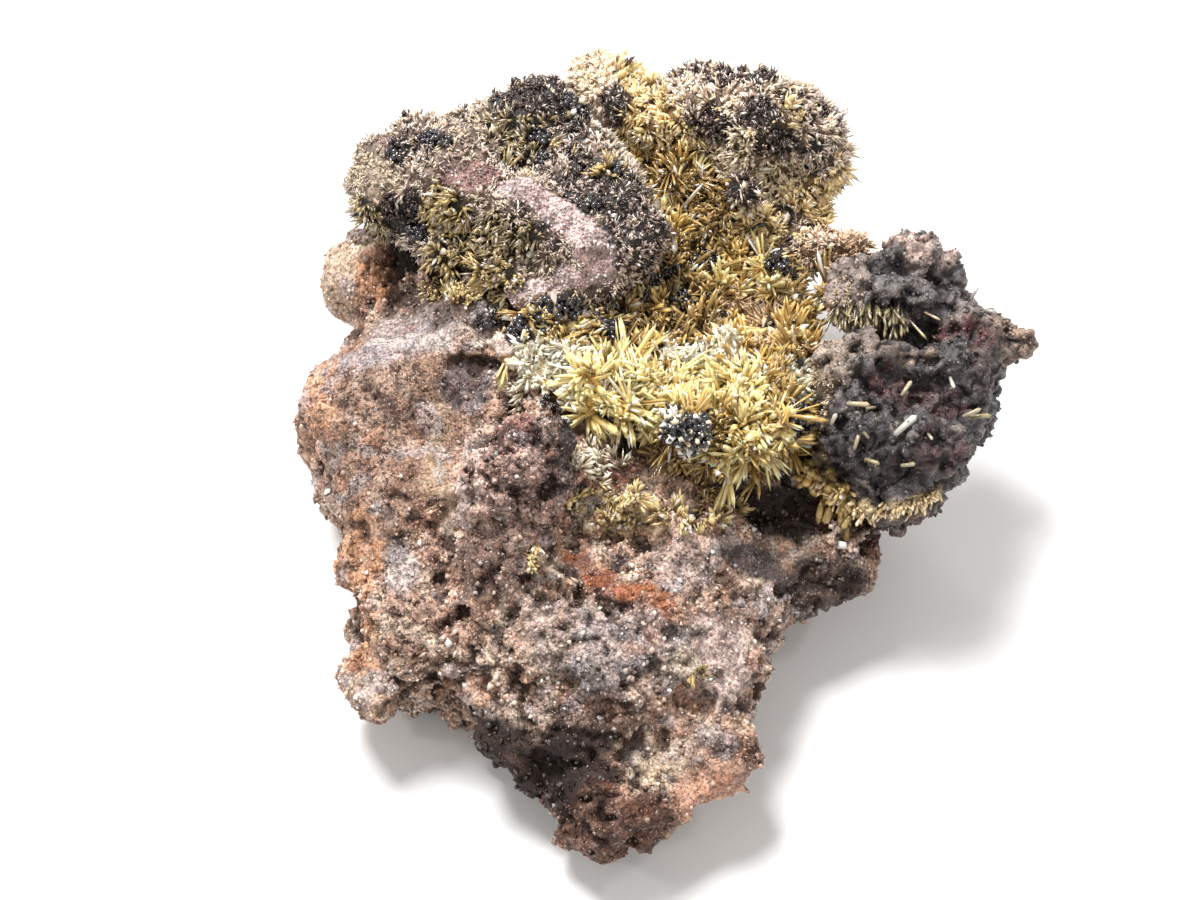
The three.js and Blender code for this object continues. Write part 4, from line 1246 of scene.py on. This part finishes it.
fringe = {
    **tufts,
    "wanted": facing(-0.9, -0.7),
    "seed": 331,
    "spacing": 0.85,
    "each": 8,
    "rooted": 0.3,
    "kinds": {
        "none": kind(0.6, (0, 0, 0), (0, 0, 0), (0, 0, 0), 1, 0.1, 10, 10, 0),
        "fringe": kind(-0.3, (0, 0, 0), (124, 104, 66), (226, 208, 164), 1.5, 0.12, 50, 40),
        "rim": kind(-0.3, (0, 0, 0), (146, 110, 48), (226, 192, 122), 2.4, 0.34, 62, 30, 0.8),
        "stubble": kind(-0.3, (0, 0, 0), (168, 138, 104), (220, 198, 164), 0.6, 0.09, 50, 50),
    },
    "zones": {
        "rim": [
            ((18.6, -5.6, 20), (2, 2.6, 2.2), 1.5), ((21.6, -8.6, 20.6), (2.6, 1.8, 2), 1.4),
            ((18.4, -3, 28), (1.2, 1.2, 1.6), 1.2),
        ],
        "stubble": [((21.6, 14, 32), (2, 5, 4), 0.8), ((18.6, 1, 30), (1.8, 6, 4), 0.9)],
    },
}
coat("oxideFringe", "oxide", fringe, goldFinish)

# Rows of straight needles: long ones along the lip of the upper tier, short ones round the front rim, and a
# few blades under it

rows = {
    "lipNeedles": {
        "path": [(21.6, 12, 32.6), (25.6, 11.6, 32.9), (29.6, 11.2, 33.2)],
        "count": 120,
        "astray": (0.2, 0.5, 0.45),
        "way": (-0.12, -0.9, -0.1),
        "splay": (0.4, 0.2, 0.36),
        "length": 3.3,
        "width": 0.19,
        "root": (58, 48, 31),
        "tip": (174, 158, 120),
    },
    "rimNeedles": {
        "path": [
            (19.4, -6, 20.6), (22.8, -9, 21), (24.6, -10.5, 22), (26.8, -11.2, 23.4), (29, -11.1, 24.2),
            (31.6, -10.6, 24.3), (33.4, -9.4, 24.8),
        ],
        "count": 230,
        "astray": (0.3, 0.3, 0.4),
        "way": (-0.2, -0.7, -0.35),
        "splay": (0.45, 0.25, 0.45),
        "length": 1.5,
        "width": 0.2,
        "root": (180, 146, 98),
        "tip": (244, 220, 174),
    },
    "rimBlades": {
        "path": [(19.4, -6.8, 19.6), (21.4, -8.8, 19.4), (23.6, -10.6, 20.4)],
        "count": 10,
        "astray": (0.3, 0.2, 0.3),
        "way": (-0.1, -0.75, -0.6),
        "splay": (0.35, 0.15, 0.15),
        "length": 3,
        "width": 0.5,
        "root": (134, 106, 52),
        "tip": (206, 178, 112),
    },
}
for name, row in rows.items():
    path = np.array(row["path"], float)
    count = row["count"]
    along = random.random(count) * (len(path) - 1)
    step = along.astype(int)
    astray = random.normal(size=(count, 3)) * row["astray"]
    roots = path[step] + (path[step + 1] - path[step]) * (along - step)[:, None] + astray
    ways = np.array(row["way"]) + random.normal(size=(count, 3)) * row["splay"]
    made = {
        "roots": roots,
        "ways": unit(ways),
        "lengths": row["length"] * uneven(count, 0.22),
        "widths": row["width"] * uneven(count, 0.2),
        "root": paint(row["root"]) * uneven(count, 0.2)[:, None],
        "tip": paint(row["tip"]) * uneven(count, 0.18)[:, None],
    }
    needles(name, made, 5, [(0.4, 0.9), (0.85, 0.9)], goldFinish)

# Grains


def crumbly(spots, ways):
    # more grains where the rock faces up and is rough
    rough = 0.3 + 0.7 * ease(0.3, 1, ruggedness(spots))
    return ease(-0.4, 0.1, ways[:, 2]) * (1 - 0.8 * smoothness(spots)) * rough * 0.54


def among(shape, *kinds):
    # grains only where these kinds of crystal grow
    numbers = [list(shape["kinds"]).index(one) for one in kinds]
    return lambda spots, ways: np.isin(kindsAt(spots, shape), numbers) * 0.9


rockGrit = {
    "spacing": 0.75,
    "wanted": crumbly,
    "size": 0.27,
    "uneven": 0.3,
    "proud": 0.2,
    "lighter": 1.05,
    "mixed": [
        # paint, share of the grains, and how strongly
        ((250, 244, 240), 0.06, 0.85), ((66, 44, 36), 0.1, 0.6),
        ((240, 216, 198), 0.24, 0.5), ((166, 156, 158), 0.06, 0.6),
    ],
}
strew("rockGrains", "rock", rockGrit, grainFinish)

oxideGrit = {
    "spacing": 0.62,
    "wanted": lambda spots, ways: 0.22 * ease(-0.8, -0.3, ways[:, 2]),
    "size": 0.24,
    "uneven": 0.28,
    "proud": 0.25,
    "lighter": 1.1,
    "mixed": [
        ((188, 176, 168), 0.1, 0.7), ((24, 18, 20), 0.16, 0.8),
        ((196, 168, 146), 0.08, 0.6), ((120, 60, 50), 0.06, 0.5),
    ],
}
strew("oxideGrains", "oxide", oxideGrit, oreFinish)

sugar = {
    "spacing": 0.5,
    "wanted": among(ridge, "lilac", "russet"),
    "size": 0.2,
    "uneven": 0.25,
    "proud": 0.3,
    "lighter": 1.1,
    "mixed": [((250, 244, 240), 0.12, 0.8), ((150, 126, 122), 0.12, 0.6)],
}
strew("ridgeSugar", "ridge", sugar, grainFinish)
strew("ribSugar", "hollow", {**sugar, "wanted": among(hollow, "salted")}, grainFinish)  # on the salted clump

# Needles that lie loose on the oxide mass: where, which way, how long and how thick

loose = [
    ((27.2, -6.6, 32.5), (0.75, 0.6, 0.25), 3.8, 0.54, (244, 240, 230)),
    ((21.7, -2.6, 33.3), (1, -0.15, 0.1), 3.0, 0.39, (226, 204, 168)),
    ((24.4, -6.8, 32.1), (-0.6, 0.7, 0.3), 2.2, 0.3, (196, 180, 150)),
    ((22.6, -7.8, 31.1), (0.3, 0.8, 0.3), 2.4, 0.33, (206, 188, 150)),
    ((23.8, -8.6, 30.5), (0.8, -0.5, 0.3), 2.2, 0.3, (190, 172, 132)),
    ((28.2, -9, 29.5), (1, 0.05, 0.2), 1.9, 0.33, (206, 190, 152)),
    ((28.6, -0.8, 31.9), (0.55, 0.8, 0.1), 2.6, 0.33, (212, 196, 164)),
    ((34.6, 1.6, 32.5), (0.1, -0.9, 0.3), 2.2, 0.3, (238, 230, 214)),
    ((36, -2.6, 30.1), (0.9, 0.3, 0.25), 2.6, 0.3, (210, 196, 160)),
    ((37, -2, 29.3), (1, -0.1, 0.2), 2.8, 0.36, (190, 172, 124)),
    ((32.2, 11, 32.5), (0.7, -0.6, 0.2), 2.6, 0.21, (200, 176, 140)),
    ((38.4, 13.8, 30.9), (0.5, 0.7, 0.5), 2.0, 0.3, (206, 196, 184)),
    ((40, 12.6, 30.5), (0.9, -0.4, 0.3), 1.8, 0.36, (196, 188, 180)),
    ((20, -4.6, 31.5), (0.3, 0.4, 0.8), 1.8, 0.33, (228, 220, 206)),
    ((25.4, -2.8, 32.7), (-0.7, -0.3, 0.4), 1.7, 0.27, (202, 184, 150)),
    ((31.4, -5.4, 31.3), (0.3, -0.8, 0.3), 1.6, 0.24, (214, 200, 170)),
]
ways = np.array([way for _, way, *_ in loose], float)
looseMade = {
    "roots": np.array([at for at, *_ in loose], float),
    "ways": unit(ways),
    "lengths": np.array([length for _, _, length, *_ in loose]),
    "widths": np.array([width for *_, width, _ in loose]),
    "root": paint([shade for *_, shade in loose]) * 0.5,
    "tip": paint([shade for *_, shade in loose]) * 0.85,
}
needles("looseNeedles", looseMade, 6, [(0.08, 0.7), (0.84, 0.9)], goldFinish)

# Floor, lights and camera

floorMesh = bpy.data.meshes.new("floor")
wide = 3  # half the floor's width, in metres
floorCorners = [(-wide, -wide, 0), (wide, -wide, 0), (wide, wide, 0), (-wide, wide, 0)]
floorMesh.from_pydata(floorCorners, [], [(0, 1, 2, 3)])
floor = adopt(bpy.data.objects.new("floor", floorMesh))
floorFinish = Finish("paleFloor", {"Base Color": (0.88, 0.88, 0.88, 1), "Roughness": 0.7})
floorMesh.materials.append(floorFinish.material)

aim = Vector((-7.5, -1.35, 20)) * millimetre


def lamp(name, at, size, power):
    light = bpy.data.lights.new(name, "AREA")
    light.size = size
    light.energy = power
    holder = adopt(bpy.data.objects.new(name, light))
    holder.location = at
    holder.rotation_euler = (aim - holder.location).to_track_quat("-Z", "Y").to_euler()


lamp("keyLight", (-0.15, 0.22, 0.52), 0.18, 4.6)
lamp("fillLight", (0.45, -0.4, 0.5), 0.5, 0.5)
lamp("backLight", (0.15, 0.6, 0.35), 0.4, 0.9)
lamp("leftSparkle", (-0.4, -0.05, 0.36), 0.05, 0.3)
lamp("rightSparkle", (0.36, 0.12, 0.42), 0.05, 0.3)
lamp("frontSparkle", (0.02, -0.42, 0.34), 0.05, 0.15)
lamp("farSparkle", (-0.08, 0.46, 0.3), 0.05, 0.3)

world = bpy.data.worlds.new("paleRoom")
world.use_nodes = True
world.node_tree.nodes["Background"].inputs["Color"].default_value = (1, 0.975, 0.94, 1)
world.node_tree.nodes["Background"].inputs["Strength"].default_value = 0.48
bpy.context.scene.world = world
bpy.context.scene.view_settings.view_transform = "Standard"

view = {"distance": 0.25, "elevation": 60, "lens": 60, "sensor": 36}
camera = adopt(bpy.data.objects.new("camera", bpy.data.cameras.new("camera")))
camera.data.lens = view["lens"]
camera.data.sensor_width = view["sensor"]
camera.data.clip_start = 0.01
rise = math.radians(view["elevation"])
back = Vector((0, -math.cos(rise), math.sin(rise)))
camera.location = aim + back * view["distance"]
camera.rotation_euler = (-back).to_track_quat("-Z", "Y").to_euler()
bpy.context.scene.camera = camera

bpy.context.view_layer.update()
say("done")
